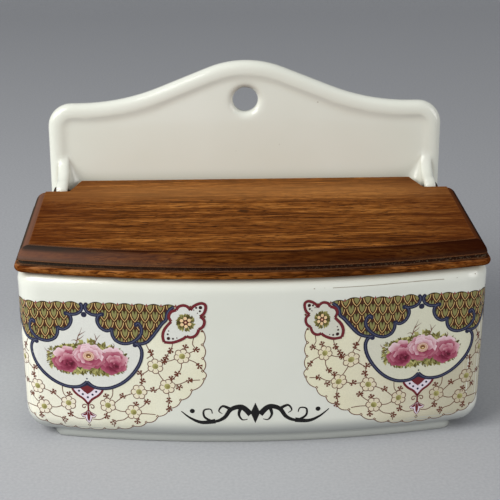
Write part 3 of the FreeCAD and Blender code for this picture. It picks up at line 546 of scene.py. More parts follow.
class Ink:
    """All faces of one colour, drawn flat: along, height, lift and tint for each point."""

    def __init__(self):
        self.points = []
        self.faces = []

    def add(self, points, faces, lift, tints=None):
        start = len(self.points)
        tints = tints or [0.5] * len(points)
        self.points += [(x, y, lift, tint) for (x, y), tint in zip(points, tints)]
        self.faces += [tuple(start + i for i in face) for face in faces]

    def fill(self, outline, lift, within=None):
        """A filled shape, kept inside another outline where one is given."""
        step = FACE_SIZE
        edge = spaced(outline if turns_left(outline) else outline[::-1], step)
        xs, ys = [p[0] for p in edge], [p[1] for p in edge]
        inner = []
        for i in range(int((max(xs) - min(xs)) / step)):
            for j in range(int((max(ys) - min(ys)) / step)):
                spot = (min(xs) + (i + 0.5) * step, min(ys) + (j + 0.5) * step)
                if inside(*spot, edge):
                    inner.append(spot)
        shapes = [list(range(len(edge)))]
        mask = spaced(within if turns_left(within) else within[::-1], step) if within else []
        if mask:
            first = len(edge) + len(inner)
            shapes.append(list(range(first, first + len(mask))))
        flat = [Vector(p) for p in edge + inner + mask]
        verts, _, faces, _, _, sources = delaunay_2d_cdt(flat, [], shapes, 1, 1e-4, True)
        kept = [f for f, source in zip(faces, sources) if len(source) >= len(shapes)]
        used = sorted({i for f in kept for i in f})
        place = {old: new for new, old in enumerate(used)}
        self.add([tuple(verts[i]) for i in used], [tuple(place[i] for i in f) for f in kept], lift)

    def line(self, points, width, lift, taper=False):
        """A line with a width, pointed at its end where it tapers."""
        count = len(points)
        left, right = line_sides(points, width, taper)
        faces = [(i, i + 1, count + i + 1, count + i) for i in range(count - 1)]
        faces += [(count + i, count + i + 1, 2 * count + i + 1, 2 * count + i) for i in range(count - 1)]
        self.add(left + points + right, faces, lift)

    def dot(self, x, y, radius, lift, tall=1.0, sides=14):
        ring = [polar(x, y, radius, a, tall) for a in turns(sides)[:-1]]
        self.add([(x, y)] + ring, [(0, i + 1, (i + 1) % sides + 1) for i in range(sides)], lift)

    def fade(self, start, rim, lift, start_tint, rim_tints):
        """A petal or leaf: it fades from its start, past a middle row of points, to its rim."""
        count = len(rim)
        middle = [((start[0] + x) / 2, (start[1] + y) / 2) for x, y in rim]
        middle_tints = [(start_tint + tint) / 2 for tint in rim_tints]
        faces = [(0, i, i + 1) for i in range(1, count)]
        faces += [(i, count + i, count + i + 1, i + 1) for i in range(1, count)]
        self.add([start] + middle + rim, faces, lift, [start_tint] + middle_tints + rim_tints)


def both_ways(points):
    return [flipped(points, side) for side in HALVES]


inks = {"panel": {}, "bouquet": {}}


def ink(name, sheet="panel"):
    """The ink of that name on the sheet for the whole panel or for the bouquet."""
    return inks[sheet].setdefault(name, Ink())


print("drawing tools ready")

# %% [markdown]
# The print's ground. Each corner carries a cream panel with a scalloped edge and a thin brown line round
# it, with a small diamond at every dip. The panel is the same left and right of its middle, so only one
# half is written down, in millimetres from the middle of the panel and from the table. The lift says how
# far a layer lies above the glaze, so that a later one covers an earlier one.

# %% Cream panel
DIPS = [
    (39.6, 43.9), (39.6, 38.6), (39.7, 33.6), (39.6, 28.9), (40.0, 25.9), (35.8, 21.7), (32.0, 18.0),
    (28.0, 14.8), (24.0, 11.6), (20.0, 9.2), (15.4, 7.4), (10.3, 6.2), (5.2, 5.5), (0.0, 5.2),
]


def scallops(dips, bulge, steps=8):
    """Round bays between the dips, standing out to the left of the way that they run."""
    out = []
    for (x0, y0), (x1, y1) in zip(dips, dips[1:]):
        length = dist((x0, y0), (x1, y1))
        nx, ny = -(y1 - y0) / length, (x1 - x0) / length
        for i in range(steps):
            t = i / steps
            rise = bulge * sin(pi * t) ** 0.8
            out.append((x0 + (x1 - x0) * t + nx * rise, y0 + (y1 - y0) * t + ny * rise))
    return out + [dips[-1]]


right_edge = scallops(DIPS, 0.95)
panel = whole([(0.0, 52.0), (30.0, 52.0), (36.5, 46.0)] + right_edge)
ink("cream").fill(panel, lift=0.02)
for way in both_ways(right_edge):
    ink("brown_line").line(way, width=0.3, lift=0.035)
for x, y in DIPS[1:-1]:
    for side in HALVES:
        ink("brown_line").dot(side * (x - 0.1), y, 0.58, lift=0.04, sides=4)
        ink("petal").dot(side * (x - 0.1), y, 0.24, lift=0.045, sides=4)
print("cream panel:", len(ink("cream").faces), "faces")

# %% [markdown]
# The blue strapwork. A ribbon of blue lobes makes a frame like a stage with a bowl below it. The lobes
# end in round knobs. Smooth lines through a few points are enough, with a paler line down the middle.

# %% Strap lines
STRAP_WIDTH, STRAP_SHINE = 1.25, 0.26
LOBES = [
    [(0.85, 52.1), (0.5, 51.4), (0.6, 50.5), (1.1, 49.5), (2.2, 48.7), (3.6, 48.35), (5.0, 48.45), (6.1, 48.8)],
    [(6.0, 48.7), (4.7, 47.8), (4.5, 45.9), (5.6, 43.8), (7.5, 42.8), (9.1, 43.3)],
    [(9.3, 43.2), (9.5, 41.2), (10.6, 39.4), (13.0, 38.4), (15.8, 38.9), (18.2, 40.7), (19.3, 42.8), (19.1, 44.9),
     (18.2, 46.0), (17.5, 45.4)],
]
OUTER_STRAP = [(16.9, 38.6), (18.9, 38.5), (20.9, 39.2), (22.6, 40.9), (24.4, 43.4), (26.2, 46.0), (27.6, 47.5),
               (27.9, 49.2), (28.7, 50.9), (30.2, 52.2)]
BOWL = [(17.0, 38.5), (18.5, 37.6), (19.2, 35.4), (18.7, 32.2), (17.0, 28.8), (14.5, 25.7), (11.4, 23.2),
        (7.8, 21.6), (4.4, 21.3), (2.0, 21.9), (0.0, 23.5)]
KNOBS = [(0.9, 52.05, 0.68), (6.2, 48.7, 0.8), (9.2, 43.3, 0.85), (17.6, 45.5, 0.85), (17.0, 38.0, 0.85)]
NOTCH = [(0, 23.9), (1.2, 22.6), (2.9, 21.7), (2.7, 20.9), (-2.7, 20.9), (-2.9, 21.7), (-1.2, 22.6)]
for shape in LOBES + [OUTER_STRAP, BOWL]:
    for way in both_ways(curved(shape)):
        ink("blue").line(way, STRAP_WIDTH, lift=0.102)
        ink("slate").line(way, STRAP_SHINE, lift=0.112)
for x, y, radius in KNOBS:
    for side in HALVES:
        ink("blue").dot(side * x, y, radius, lift=0.105)
ink("blue").dot(0, 48.3, 1.0, lift=0.105)
ink("blue").fill(NOTCH, lift=0.1)
ink("blue").dot(0, 24.6, 0.3, lift=0.1)
print("straps:", len(ink("blue").faces), "faces")

# %% White reserve
reserve = [(0.0, 51.6)]
for shape in (LOBES[0][1:], LOBES[1]):
    reserve += curved(shape)[1:-1]
reserve += curved(LOBES[2][:5])[1:] + [(17.5, 38.4)] + curved(BOWL)[1:]
ink("white").fill(whole(reserve), lift=0.085)
print("reserve:", len(ink("white").faces), "faces")

# %% [markdown]
# The scale band. Above the straps hangs a band of green scales on brown, each with a tan rim, row
# over row like roof tiles. One scale is drawn once and repeated in staggered rows. It is cut off where the
# band ends, so no scale spills over the straps.

# %% Scale band
SCALE_WIDTH, ROW_DROP, FIRST_TIP = 3.44, 3.27, 49.7
ROWS, COLUMNS, RIM_WIDTH = 5, 10, 0.24
TICKS = [(1.95 + 4.83 * i, 52.15) for i in range(7)]
top_edge = scallops(TICKS, 0.85)
lobe_edge = [p for shape in (LOBES[2][:4], LOBES[1], LOBES[0][1:]) for p in reversed(curved(shape))]
band = [(1.2, 52.3)] + top_edge + list(reversed(curved(OUTER_STRAP[:-1]))) + [(15.0, 38.4)] + lobe_edge
RIM = [(-1.36, 2.9), (-1.22, 1.95), (-0.8, 0.98), (0, 0), (0.8, 0.98), (1.22, 1.95), (1.36, 2.9)]
TONGUE = whole([(0, 0.78), (0.42, 1.36), (0.76, 2.1), (0.88, 2.95), (0.76, 3.65), (0.4, 3.95), (0, 3.5)])
TOP_TONGUE = whole([(0, 0.78), (0.42, 1.36), (0.76, 2.1), (0.88, 2.75), (0.6, 3.05), (0, 3.15)])
TONGUE_SHADE = [(0.46, 4.0), (0.24, 3.3), (0, 2.5), (-0.24, 3.3), (-0.46, 4.0), (0, 3.6)]


def moved(shape, x, y):
    return [(x + dx, y + dy) for dx, dy in shape]


def draw_scales(edge, side):
    """Draws the scales of one half and counts them."""
    count = 0
    for row in range(ROWS):
        tip = FIRST_TIP - row * ROW_DROP
        for column in range(COLUMNS):
            x = side * (column + (0.5 if row % 2 == 0 else 0.0)) * SCALE_WIDTH
            if not any(inside(*spot, edge) for spot in moved(TONGUE, x, tip)):
                continue
            count += 1
            left, right = line_sides(moved(RIM, x, tip), RIM_WIDTH)
            ink("tan").fill(left + right[::-1], lift=0.065, within=edge)
            ink("olive").fill(moved(TONGUE if row else TOP_TONGUE, x, tip), lift=0.055, within=edge)
            if row:
                ink("moss").fill(moved(TONGUE_SHADE, x, tip), lift=0.062, within=edge)
    return count


for side in HALVES:
    edge = flipped(band, side)
    ink("band_brown").fill(edge, lift=0.035)
    print("scales in one half:", draw_scales(edge, side))
    ink("moss").line(flipped(top_edge, side), width=0.24, lift=0.07)
    for x, y in TICKS[1:]:
        ink("tick").fill([(side * (x - 0.5), y), (side * (x + 0.5), y), (side * x, y + 1.0)], lift=0.075)

# %% [markdown]
# The roses. Three full roses lie in the white reserve among leaves and bare twigs. Painted roses are
# rings of petals, pale at the rim and deep towards the heart. Each petal is a fan of faces that fades
# between two tints; a colour ramp turns the tint into pinks. The drawing is this lesson's own.

# %% Roses and leaves
dice = random.Random(11)


def rose(middle, size, heart, rings, sun, lowest):
    """Rings of petals from the outside in, drawn round a heart that may lie off the middle.
    A ring is its reach, the petal length, the number of petals and the tints at heart and rim.
    The lowest petal lies at the lift that is given last."""
    drawn = 0
    for depth, (reach, length, petals, heart_tint, rim_tint) in enumerate(rings):
        inward = depth / (len(rings) - 1)
        x = middle[0] + heart[0] * inward
        y = middle[1] + heart[1] * inward
        lean = dice.uniform(0, 6.28)
        for k in range(petals):
            a = lean + 2 * pi * k / petals + dice.uniform(-0.2, 0.2)
            glow = 0.2 * cos(a - sun) + dice.uniform(-0.2, 0.2)
            near = reach - 0.5 * length
            start = (x + size[0] * near * cos(a), y + size[1] * near * sin(a))
            rim, tints = [], []
            for i in range(13):
                b = a - 1.9 + 3.8 * i / 12
                far = 0.75 * length * (1 + 0.1 * sin(5 * b + k))
                rim_x = x + size[0] * (reach * cos(a) + far * cos(b))
                rim_y = y + size[1] * (reach * sin(a) + far * sin(b))
                rim.append((rim_x, rim_y))
                tints.append(min(1.0, max(0.0, rim_tint + glow - 0.35 * (i / 6 - 1) ** 2)))
            lift = lowest + 0.003 * drawn
            drawn += 1
            ink("rose", "bouquet").fade(start, rim, lift, max(0.0, heart_tint + glow), tints)


def leaf(sheet, x, y, angle, length, tint, lift, slim):
    """A pointed leaf that grows from a place at an angle."""
    turn_x, turn_y = cos(angle), sin(angle)
    rim, tints = [], []
    for i in range(9):
        t = -1 + i / 4
        wide = slim * length * cos(t * pi / 2) * copysign(1, t)
        far = length * (1 - abs(t))
        rim.append((x + turn_x * far - turn_y * wide, y + turn_y * far + turn_x * wide))
        tints.append(tint + 0.2 * (1 - abs(t)))
    heart = (x + turn_x * 0.3 * length, y + turn_y * 0.3 * length)
    ink("leaf", sheet).fade(heart, rim, lift, tint, tints)


def leaf_ring(sheet, middle, size, count, lengths, tints, lift, slim, square=1.0):
    """Leaves that grow outwards from an oval, or from a squarer shape when the last number is below 1."""
    for k in range(count):
        a = 2 * pi * k / count + dice.uniform(-0.08, 0.08)
        x = middle[0] + size[0] * copysign(abs(cos(a)) ** square, cos(a))
        y = middle[1] + size[1] * copysign(abs(sin(a)) ** square, sin(a))
        angle = atan2(sin(a) * size[0], cos(a) * size[1]) + dice.uniform(-0.8, 0.8)
        leaf(sheet, x, y, angle, dice.uniform(*lengths), dice.uniform(*tints), lift + 0.002 * (k % 3), slim)


# Each row: middle, size, number of leaves, lengths, tints, lift, slimness and how square.
LEAF_RINGS = [
    ((0.8, 31.9), (9.0, 2.6), 30, (2.6, 3.6), (0.5, 0.95), 0.092, 0.42, 0.75),
    ((0.8, 31.9), (10.4, 3.3), 40, (2.2, 3.3), (0.45, 0.95), 0.096, 0.36, 0.75),
    ((0.8, 31.9), (11.4, 4.1), 60, (1.5, 2.6), (0.1, 0.6), 0.104, 0.24, 0.75),
    ((0.8, 31.9), (12.4, 4.7), 84, (1.0, 2.0), (0.0, 0.4), 0.112, 0.16, 0.72),
    ((-11.2, 32.2), (1.0, 2.6), 26, (1.2, 2.2), (0.4, 1.0), 0.094, 0.32),
    ((-11.5, 32.2), (1.4, 3.0), 26, (0.8, 1.6), (0.0, 0.3), 0.106, 0.14),
    ((2.2, 34.3), (5.4, 3.2), 30, (1.6, 2.7), (0.2, 0.95), 0.1, 0.3),
    ((0.9, 31.0), (5.6, 1.6), 30, (2.0, 3.0), (0.1, 0.6), 0.09, 0.4),
    ((0.9, 29.4), (8.4, 1.4), 40, (1.5, 2.5), (0.1, 0.85), 0.108, 0.26),
]
for row in LEAF_RINGS:
    leaf_ring("bouquet", *row)
DEEP_ROSE = [
    (0.6, 0.62, 7, 0.3, 0.74), (0.46, 0.54, 6, 0.22, 0.7), (0.34, 0.42, 6, 0.1, 0.6), (0.2, 0.3, 5, 0.04, 0.52),
    (0.08, 0.18, 4, 0.0, 0.36),
]
PALE_ROSE = [(0.66, 0.44, 11, 0.46, 0.84), (0.52, 0.44, 9, 0.42, 0.94), (0.38, 0.36, 8, 0.5, 0.9)]
rose((-6.7, 31.7), (5.1, 4.7), (1.2, -1.6), DEEP_ROSE, 2.2, 0.12)
rose((9.3, 31.7), (4.9, 4.9), (1.0, -1.4), DEEP_ROSE, 1.7, 0.12)
rose((1.1, 33.0), (5.9, 5.0), (0.0, 0.2), PALE_ROSE, 1.8, 0.205)
HEART, HEART_TALL = (1.0, 33.2), 0.86
ink("blush", "bouquet").dot(*HEART, 2.1, 0.295, HEART_TALL)
for a in turns(22)[:-1]:
    ends = [polar(*HEART, far, a, HEART_TALL) for far in (0.8, dice.uniform(1.3, 1.8))]
    ink("straw", "bouquet").line(ends, width=0.09, lift=0.299)
for radius, width in [(1.95, 0.14), (1.4, 0.13)]:
    ring = [polar(*HEART, radius, a, HEART_TALL) for a in turns(28)]
    ink("gold", "bouquet").line(ring, width, lift=0.302)
ink("gold", "bouquet").dot(HEART[0], HEART[1] + 0.1, 1.0, 0.306, HEART_TALL)
ink("twig", "bouquet").dot(HEART[0], HEART[1] + 0.2, 0.74, 0.31, 0.72)
ink("straw", "bouquet").dot(HEART[0] + 0.05, HEART[1] - 0.15, 0.36, 0.314, 0.7)
TWIGS = [
    [(-2.9, 38.0), (-2.3, 40.4), (-1.4, 42.2), (-0.9, 43.6)], [(-2.2, 40.6), (-0.9, 41.5), (0.3, 42.2)],
    [(-2.7, 39.0), (-1.2, 39.9), (-0.4, 40.8)], [(-2.8, 38.6), (-3.8, 39.0), (-4.8, 38.7)],
    [(3.3, 38.0), (4.2, 39.8), (5.3, 41.2)], [(3.9, 39.4), (3.6, 40.8), (3.2, 41.6)],
    [(9.5, 36.2), (9.9, 37.6), (9.4, 38.4)], [(-12.6, 34.4), (-13.6, 34.6), (-14.3, 35.6)],
    [(-12.9, 33.4), (-13.8, 32.8)],
]
for shape in TWIGS:
    ink("twig", "bouquet").line(curved(shape, 0.3), width=0.36, lift=0.118, taper=True)
print("bouquet:", sum(len(sheet.faces) for sheet in inks["bouquet"].values()), "faces")

# %% [markdown]
# The pendant. Below the bowl hangs a red lozenge in a small shield, two spirals and a leaf. These are
# plain filled shapes, laid over each other from the bottom up.

# %% Pendant
SHIELD = [(5.4, 21.4), (5.0, 20.0), (3.6, 18.4), (1.5, 16.9), (0.0, 15.0)]
RED_LOZENGE = whole([(0, 22.1), (1.1, 21.6), (2.5, 21.0), (1.3, 19.8), (0, 18.8)])
PALM = whole([(0.0, 13.0), (0.8, 12.0), (2.7, 10.9), (2.2, 10.1), (1.2, 10.0), (0.9, 8.8), (0.0, 7.6)])
MIDDLE_LEAF = whole([(0, 12.6), (0.55, 10.8), (0.45, 9.4), (0.0, 8.2)])
SIDE_LEAF = [(0.2, 12.4), (0.9, 11.7), (2.3, 10.7), (1.3, 10.6), (0.6, 10.9)]
DROP = [(0, 7.3), (0.5, 6.8), (0, 6.2), (-0.5, 6.8), (0, 7.3)]
shield_line = curved(SHIELD)
ink("lilac").fill(shield_line + flipped(shield_line[-2::-1], -1), lift=0.05)
for way in both_ways(shield_line):
    ink("crimson").line(way, width=0.8, lift=0.06)
ink("crimson").fill(RED_LOZENGE, lift=0.114)
for x, y in [(3.0, 19.9), (-3.0, 19.9), (1.7, 18.7), (-1.7, 18.7), (0, 17.6)]:
    ink("blue").dot(x, y, 0.4, lift=0.07)
ink("crimson").line([(0, 15.6), (0, 14.0), (0, 12.3)], width=0.6, lift=0.06)
coil = [polar(1.35, 14.0, 0.2 + 0.13 * a, a + 2.6) for a in (0.45 * i for i in range(15))]
for way in both_ways(coil):
    ink("sprig").line(way, width=0.32, lift=0.06)
ink("lilac").fill(PALM, lift=0.05)
ink("crimson").line(PALM + PALM[:1], width=0.26, lift=0.058)
ink("crimson").fill(MIDDLE_LEAF, lift=0.06)
for side_leaf in both_ways(SIDE_LEAF):
    ink("crimson").fill(side_leaf, lift=0.062)
ink("brown_line").line(DROP, width=0.24, lift=0.06)
print("pendant drawn")

# %% [markdown]
# The corner shield. At the panel's upper corner stands a white lozenge with a wavy red border, a small
# cream flower in a green wreath, dark dots in its two tips and a tick at its outer dips.

# %% Corner shield
# Each side of the shield starts where the one before it ends.
LOZENGE = [
    [(26.4, 41.8), (27.2, 44.3), (29.3, 46.9)],
    [(28.6, 48.6), (29.3, 50.3), (31.1, 51.1)],
    [(31.9, 52.3), (33.5, 52.8), (34.9, 52.3), (35.8, 51.1)],
    [(36.6, 52.3), (38.0, 53.2), (39.5, 53.6), (40.6, 53.1), (40.8, 51.8), (40.2, 50.0), (38.9, 48.8)],
    [(40.1, 47.8), (40.3, 46.5), (39.7, 45.1), (38.4, 44.2)],
    [(38.0, 42.9), (37.1, 41.8), (35.6, 41.3), (34.3, 41.7)],
    [(33.2, 40.8), (31.4, 39.9), (29.3, 39.3), (26.8, 39.4)],
]
DARK_DOTS = [
    (28.3, 40.8, 0.6), (28.1, 42.3, 0.36), (29.8, 40.7, 0.36), (28.4, 43.5, 0.22), (31.1, 41.0, 0.22),
    (39.1, 52.1, 0.62), (37.7, 52.0, 0.38), (38.9, 50.8, 0.38), (36.9, 51.2, 0.22), (38.1, 50.1, 0.22),
]
OUTER_DIPS = [(35.8, 52.3), (40.4, 48.8), (39.5, 43.6)]
FLOWER_X, FLOWER_Y = 34.1, 46.7
shield_sides = [curved(before[-1:] + shape) for before, shape in zip(LOZENGE[-1:] + LOZENGE, LOZENGE)]
shield = [p for line in shield_sides for p in line[:-1]]
for side in HALVES:
    flower_x = side * FLOWER_X
    ink("white").fill(flipped(shield, side), lift=0.112)
    for line in shield_sides:
        ink("crimson").line(flipped(line, side), width=1.02, lift=0.12)
    for x, y, radius in DARK_DOTS:
        ink("maroon").dot(side * x, y, radius, lift=0.125)
    leaf_ring("panel", (flower_x, FLOWER_Y), (1.2, 1.2), 30, (1.6, 2.4), (0.25, 0.8), 0.122, 0.3)
    leaf_ring("panel", (flower_x, FLOWER_Y), (1.7, 1.7), 44, (1.0, 1.8), (0.0, 0.35), 0.124, 0.22)
    for x, y in OUTER_DIPS:
        ink("sprig").dot(side * x, y, 0.48, lift=0.127, sides=4)
    ink("moss").dot(flower_x, FLOWER_Y, 2.0, lift=0.128)
    for a in [spot + 0.6 for spot in turns(6)[:-1]]:
        ink("peach").dot(*polar(flower_x, FLOWER_Y, 1.45, a), 0.6, lift=0.132)
    ink("crimson").dot(flower_x, FLOWER_Y, 0.74, lift=0.136)
    ink("peach").dot(flower_x, FLOWER_Y, 0.34, lift=0.14)
print("corner shields drawn")

# %% [markdown]
# The blossom vines. Small white blossoms with six petals and olive hearts hang on thin brown vines with
# small starry sprigs. The vines are smooth lines between blossoms; sprigs sit along them.

# %% Blossoms and vines
BLOSSOMS = [(6.9, 15.0), (15.7, 12.9), (17.8, 20.6), (23.6, 30.4), (27.5, 23.0), (32.7, 34.3)]
VINES = [
    [(20.6, 38.6), (21.6, 36.4), (22.6, 34.4), (23.4, 32.6)],
    [(29.6, 39.0), (29.2, 37.0), (27.9, 34.8), (26.9, 32.3), (25.6, 31.0)],
    [(26.9, 32.3), (28.8, 32.6), (30.6, 33.4)], [(36.7, 41.2), (36.3, 38.8), (37.2, 36.9), (35.0, 35.4)],
    [(34.6, 33.2), (36.9, 32.2), (38.2, 31.0), (39.4, 29.4)],
    [(32.4, 32.2), (32.3, 30.0), (31.0, 27.6), (28.9, 25.2)],
    [(21.8, 29.4), (20.2, 28.0), (18.6, 27.3), (16.6, 27.9)], [(18.6, 27.3), (18.9, 25.0), (18.4, 22.6)],
    [(24.3, 28.4), (25.3, 26.6), (26.6, 24.8)], [(29.5, 23.6), (31.8, 24.0), (34.6, 25.2), (38.6, 25.6)],
    [(25.5, 22.6), (23.0, 21.4), (20.0, 21.2)], [(27.8, 20.9), (28.0, 18.4), (27.6, 15.4)],
    [(15.8, 20.0), (12.6, 18.7), (10.4, 17.0), (8.8, 15.6)],
    [(19.0, 18.7), (20.2, 16.8), (18.6, 15.0), (17.2, 14.3)], [(7.4, 17.0), (8.6, 18.8), (8.8, 21.2)],
    [(6.6, 12.9), (6.2, 11.0), (4.0, 9.4), (1.4, 9.4)], [(8.8, 14.0), (11.2, 13.0), (13.6, 13.0)],
    [(14.2, 11.4), (12.2, 9.8), (9.6, 9.0), (8.6, 6.6)], [(17.7, 12.4), (20.6, 12.4), (23.2, 12.2)],
    [(22.6, 34.4), (20.8, 33.2)],
]
SPRIGS = [
    (22.4, 35.2, 1.9), (28.9, 36.6, 4.6), (27.4, 34.0, 4.4), (26.7, 32.0, 2.4), (33.7, 37.3, 1.2), (37.2, 36.7, 0.2),
    (38.2, 31.0, 5.4), (18.7, 27.4, 2.4), (31.3, 28.0, 3.6), (18.9, 24.4, 1.0), (34.8, 25.2, 0.6), (28.8, 25.6, 1.2),
    (12.4, 18.7, 2.7), (23.0, 21.4, 2.6), (20.2, 16.9, 0.2), (27.9, 18.0, 4.8), (6.6, 18.0, 1.9), (6.2, 11.1, 5.2),
    (8.6, 8.9, 4.4), (16.4, 15.5, 1.2), (17.0, 9.8, 4.6), (31.8, 22.9, 3.6), (28.0, 14.9, 4.6),
]
PRONGS = [(-0.85, 1.3), (0.0, 1.5), (0.85, 1.3), (2.5, 0.9), (3.8, 0.9)]
PETAL_MIDDLE, PETAL_SIZE, HEART_RADIUS = 1.6, 1.25, 1.05


def blossom_rim(x, y):
    """Six round petals side by side, as one outline."""
    rim = []
    for a in turns(48)[:-1]:
        off = (a + pi / 6) % (pi / 3) - pi / 6
        far = PETAL_MIDDLE * cos(off) + sqrt(PETAL_SIZE - (PETAL_MIDDLE * sin(off)) ** 2)
        rim.append(polar(x, y, far, a + x))
    return rim


for side in HALVES:
    for shape in VINES:
        ink("brown_line").line(flipped(curved(shape), side), width=0.3, lift=0.035)
    for x, y, lean in SPRIGS:
        for spread, far in PRONGS:
            prong = flipped([polar(x, y, far, lean + spread), (x, y)], side)
            ink("sprig").line(prong, width=0.8, lift=0.045, taper=True)
    for x, y in BLOSSOMS:
        petals = flipped(blossom_rim(x, y), side)
        ink("petal").fill(petals, lift=0.05)
        ink("brown_line").line(petals + petals[:1], width=0.27, lift=0.06)
        for k in range(6):
            a = 2 * pi * (k + 0.5) / 6 + x
            ends = flipped([polar(x, y, far, a) for far in (1.3, 2.2)], side)
            ink("brown_line").line(ends, width=0.2, lift=0.06)
        rim = [polar(side * x, y, HEART_RADIUS, a) for a in turns(24)]
        tints = [0.86 + 0.14 * cos(a - 2.4) + dice.uniform(-0.2, 0.1) for a in turns(24)[:-1]]
        ink("leaf").fade((side * x + 0.25, y - 0.25), rim, 0.065, 0.5, tints + tints[:1])
print("blossoms per panel:", 2 * len(BLOSSOMS))

# %% [markdown]
# The inks. A lithographed transfer is never quite flat: its colour lies in fine grains, with the glaze
# on top. Each ink is its colour with a fine mottling, under the same gloss as the casting. Roses and
# leaves read the tint of each petal and turn it into a range of colours. A ramp along the front lays painted
# shade with some yellowing over the pale inks, darker towards the right end.

# %% Ink finishes
INK_COLOURS = {
    "cream": (242, 240, 223), "white": (223, 224, 217), "petal": (244, 236, 217), "lilac": (232, 222, 232),
    "band_brown": (68, 33, 8), "tan": (222, 186, 120), "olive": (136, 132, 80), "moss": (56, 48, 12),
    "tick": (142, 76, 66), "crimson": (112, 33, 41), "maroon": (52, 18, 20),
    "blue": (34, 36, 62), "slate": (78, 84, 110), "black": (14, 13, 14),
    "brown_line": (106, 63, 45), "sprig": (106, 52, 34), "twig": (116, 70, 54), "grey_marks": (158, 150, 135),
    "straw": (240, 214, 156), "gold": (168, 122, 62), "peach": (238, 204, 158), "blush": (228, 188, 182),
}
TINTS = {
    "rose": [(0.0, srgb(84, 14, 34)), (0.25, srgb(130, 38, 66)), (0.5, srgb(166, 78, 102)),
             (0.75, srgb(200, 138, 150)), (1.0, srgb(238, 212, 218))],
    "leaf": [(0.0, srgb(62, 48, 16)), (0.4, srgb(106, 99, 43)), (1.0, srgb(194, 189, 121))],
}
RIGHT_END_SHADE_AND_YELLOWING = {
    "cream": [(0.0, 1.0), (0.2, (0.92, 0.92, 0.86, 1)), (0.65, (0.92, 0.9, 0.77, 1)), (0.75, (0.88, 0.85, 0.76, 1)),
              (0.92, (0.65, 0.62, 0.54, 1))],
    "white": [(0.45, 1.0), (0.65, (0.93, 0.91, 0.85, 1)), (0.85, (0.98, 0.96, 0.81, 1))],
}
RIGHT_END_SHADE_AND_YELLOWING["petal"] = RIGHT_END_SHADE_AND_YELLOWING["cream"]


def ink_finish(name):
    """One ink: its colour or its tints in fine grains, under the glaze."""
    finish = Finish("ink_" + name, 0.16, Specular_IOR_Level=0.32, Coat_Weight=0.12, Coat_Roughness=0.05)
    grain = finish.ramp(finish.noise(finish.place(), 2600.0, 2.0), [(0.35, 0.93), (0.65, 1.0)])
    if name in TINTS:
        tint = finish.node("ShaderNodeAttribute", attribute_name="tint").outputs["Fac"]
        colour = finish.ramp(tint, TINTS[name])
    elif name == "cream":
        wash = finish.noise(finish.place(), 95.0, 1.0)
        colour = finish.ramp(wash, [(0.4, srgb(244, 243, 228)), (0.6, srgb(*INK_COLOURS[name]))])
    else:
        colour = srgb(*INK_COLOURS[name])
    # Painted shade with yellowing: the pale inks darken and yellow towards the right end.
    if name in RIGHT_END_SHADE_AND_YELLOWING:
        across = finish.axes(finish.place())["X"]
        share = finish.sum("MULTIPLY_ADD", across, 0.5 / HALF_WIDTH, 0.5)
        colour = finish.mix(1.0, colour, finish.ramp(share, RIGHT_END_SHADE_AND_YELLOWING[name]), "MULTIPLY")
    finish.paint(finish.mix(1.0, colour, grain, "MULTIPLY"))
    return finish


ink_finishes = {name: ink_finish(name) for name in [*INK_COLOURS, *TINTS]}
print("inks:", ", ".join(sorted(ink_finishes)))

# %% [markdown]
# Printing both corners. The right panel is the left one turned over, but its bouquet is not. The sheets
# were laid by hand, so the right one sits a little higher, tilted and stretched, and the paper sags where
# it goes round the corner. Each ink becomes one piece per corner that rides with the box.

# %% Print both panels
LEFT_MIDDLE, RIGHT_MIDDLE = -57.2, 56.2
RIGHT_STRETCH, RIGHT_RAISE, RIGHT_TILT = 0.973, 1.15, 0.025
SAG, SAG_REACH, SAG_FROM, SAG_HEIGHT = 1.6, 28, 15, 37
# How far the right sheet is pushed at a place, the place, and how wide the push is.
PUSH_ALONG, PUSH_UP = (1.2, 29, 9), (0.9, 21, 6)


def sag(x, y):
    """How far the paper has slipped down on its way round the corner."""
    return SAG * max(0.0, -x) / SAG_REACH * max(0.0, y - SAG_FROM) / SAG_HEIGHT


def hump(x, height, middle, width):
    """A smooth rise to a height at the middle."""
    return height * exp(-(((x - middle) / width) ** 2))


def left_place(x, y):
    return x + LEFT_MIDDLE, y - sag(x, y)


def right_place(x, y):
    along = x if x < 0 else RIGHT_STRETCH * x + hump(x, *PUSH_ALONG)
    return RIGHT_MIDDLE - along, y - sag(x, y) + RIGHT_RAISE - RIGHT_TILT * max(0.0, x) + hump(x, *PUSH_UP)


SHEET_SIZE = 90


def print_sheet(name, sheet, finish, place=lambda *spot: spot):
    """One ink on the box. The place turns a point of the sheet into a length along the front and a height."""
    spots = [place(x, y) for x, y, _, _ in sheet.points]
    verts = [on_casting(*spot, point[2]) for spot, point in zip(spots, sheet.points)]
    faces = [face if turns_left([spots[i] for i in face]) else face[::-1] for face in sheet.faces]
    piece = add_mesh(name, verts, faces)
    mesh = piece.data
    tint = mesh.attributes.new("tint", "FLOAT", "POINT")
    tint.data.foreach_set("value", [point[3] for point in sheet.points])
    uv = mesh.uv_layers.new(name="OFBake")
    for loop in mesh.loops:
        x, y, _, _ = sheet.points[loop.vertex_index]
        uv.data[loop.index].uv = ((x + SHEET_SIZE / 2) / SHEET_SIZE, y / SHEET_SIZE + 0.1)
    dress(piece, finish)
    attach(piece, "box")
    return piece


PLACES = [
    ("left", "panel", left_place),
    ("left", "bouquet", left_place),
    ("right", "panel", right_place),
    ("right", "bouquet", lambda x, y: right_place(-x, y)),
]
printed = 0
for corner, sheet_name, place in PLACES:
    for ink_name, sheet in inks[sheet_name].items():
        piece = print_sheet(f"print_{corner}_{sheet_name}_{ink_name}", sheet, ink_finishes[ink_name], place)
        printed += len(piece.data.polygons)
print("printed faces:", printed)

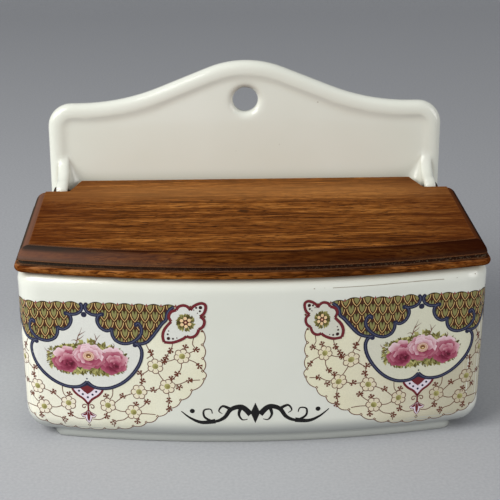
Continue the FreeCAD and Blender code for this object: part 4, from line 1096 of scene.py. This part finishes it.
# %% [markdown]
# The middle of the front. A small black scroll lies low in the middle of the front. It is a plain
# ornament: two mirrored S-curves with leaves, thick in the middle and thin at the ends.

# %% Black scroll
# Each row: points of the right half, width and lift.
STROKES = [
    ([(1.6, 12.6), (4.6, 15.4), (8.2, 14.6), (10.6, 11.4), (14.0, 10.0), (17.2, 11.6), (17.4, 14.2), (15.2, 14.6),
      (14.6, 13.0)], 2.1, 0.03),
    ([(8.0, 14.4), (11.0, 15.8), (12.4, 14.0), (11.2, 12.9)], 1.3, 0.032),
    ([(13.6, 10.1), (18.2, 9.6), (22.0, 11.2), (25.2, 13.8)], 1.8, 0.034),
    ([(5.0, 15.0), (5.6, 12.6), (4.4, 10.6), (2.6, 10.8)], 1.3, 0.036),
]
scroll = Ink()
for side in HALVES:
    for points, width, lift in STROKES:
        scroll.line(curved(flipped(points, side)), width, lift, taper=True)
    scroll.dot(side * 21.4, 13.9, 0.85, lift=0.03)
scroll.fill(whole([(0, 17.0), (1.6, 13.2), (0, 9.2)]), lift=0.04)
print_sheet("print_middle_scroll", scroll, ink_finishes["black"])
print("scroll:", len(scroll.faces), "faces")

# %% [markdown]
# A thin grey line. It lies on the right half of the front, where the glaze curves in under the
# lid, with a few specks beside it. It is drawn with the same tools as the print, as a line of uneven width.

# %% Grey line under the lid
GREY_LINE = [(25.6, 58.1), (31.3, 58.16), (38.0, 58.21), (45.5, 58.36), (53.0, 58.49), (58.7, 58.49), (65.1, 58.4)]
GREY_SPECKS = [(19.45, 58.1, 0.26), (22.9, 58.2, 0.12), (68.4, 58.5, 0.18), (75.2, 59.0, 0.3)]
DASH = 6
grey_marks = Ink()
grey_line = curved(GREY_LINE, 0.6)
for i in range(0, len(grey_line) - DASH, DASH):
    width = 0.14 + 0.16 * dice.random()
    grey_marks.line(grey_line[i:i + DASH + 1], width, lift=0.03)
for x, y, radius in GREY_SPECKS:
    grey_marks.dot(x, y, radius, lift=0.03, tall=0.6)
print_sheet("print_middle_grime", grey_marks, ink_finishes["grey_marks"])
print("grime:", len(grey_marks.faces), "faces")
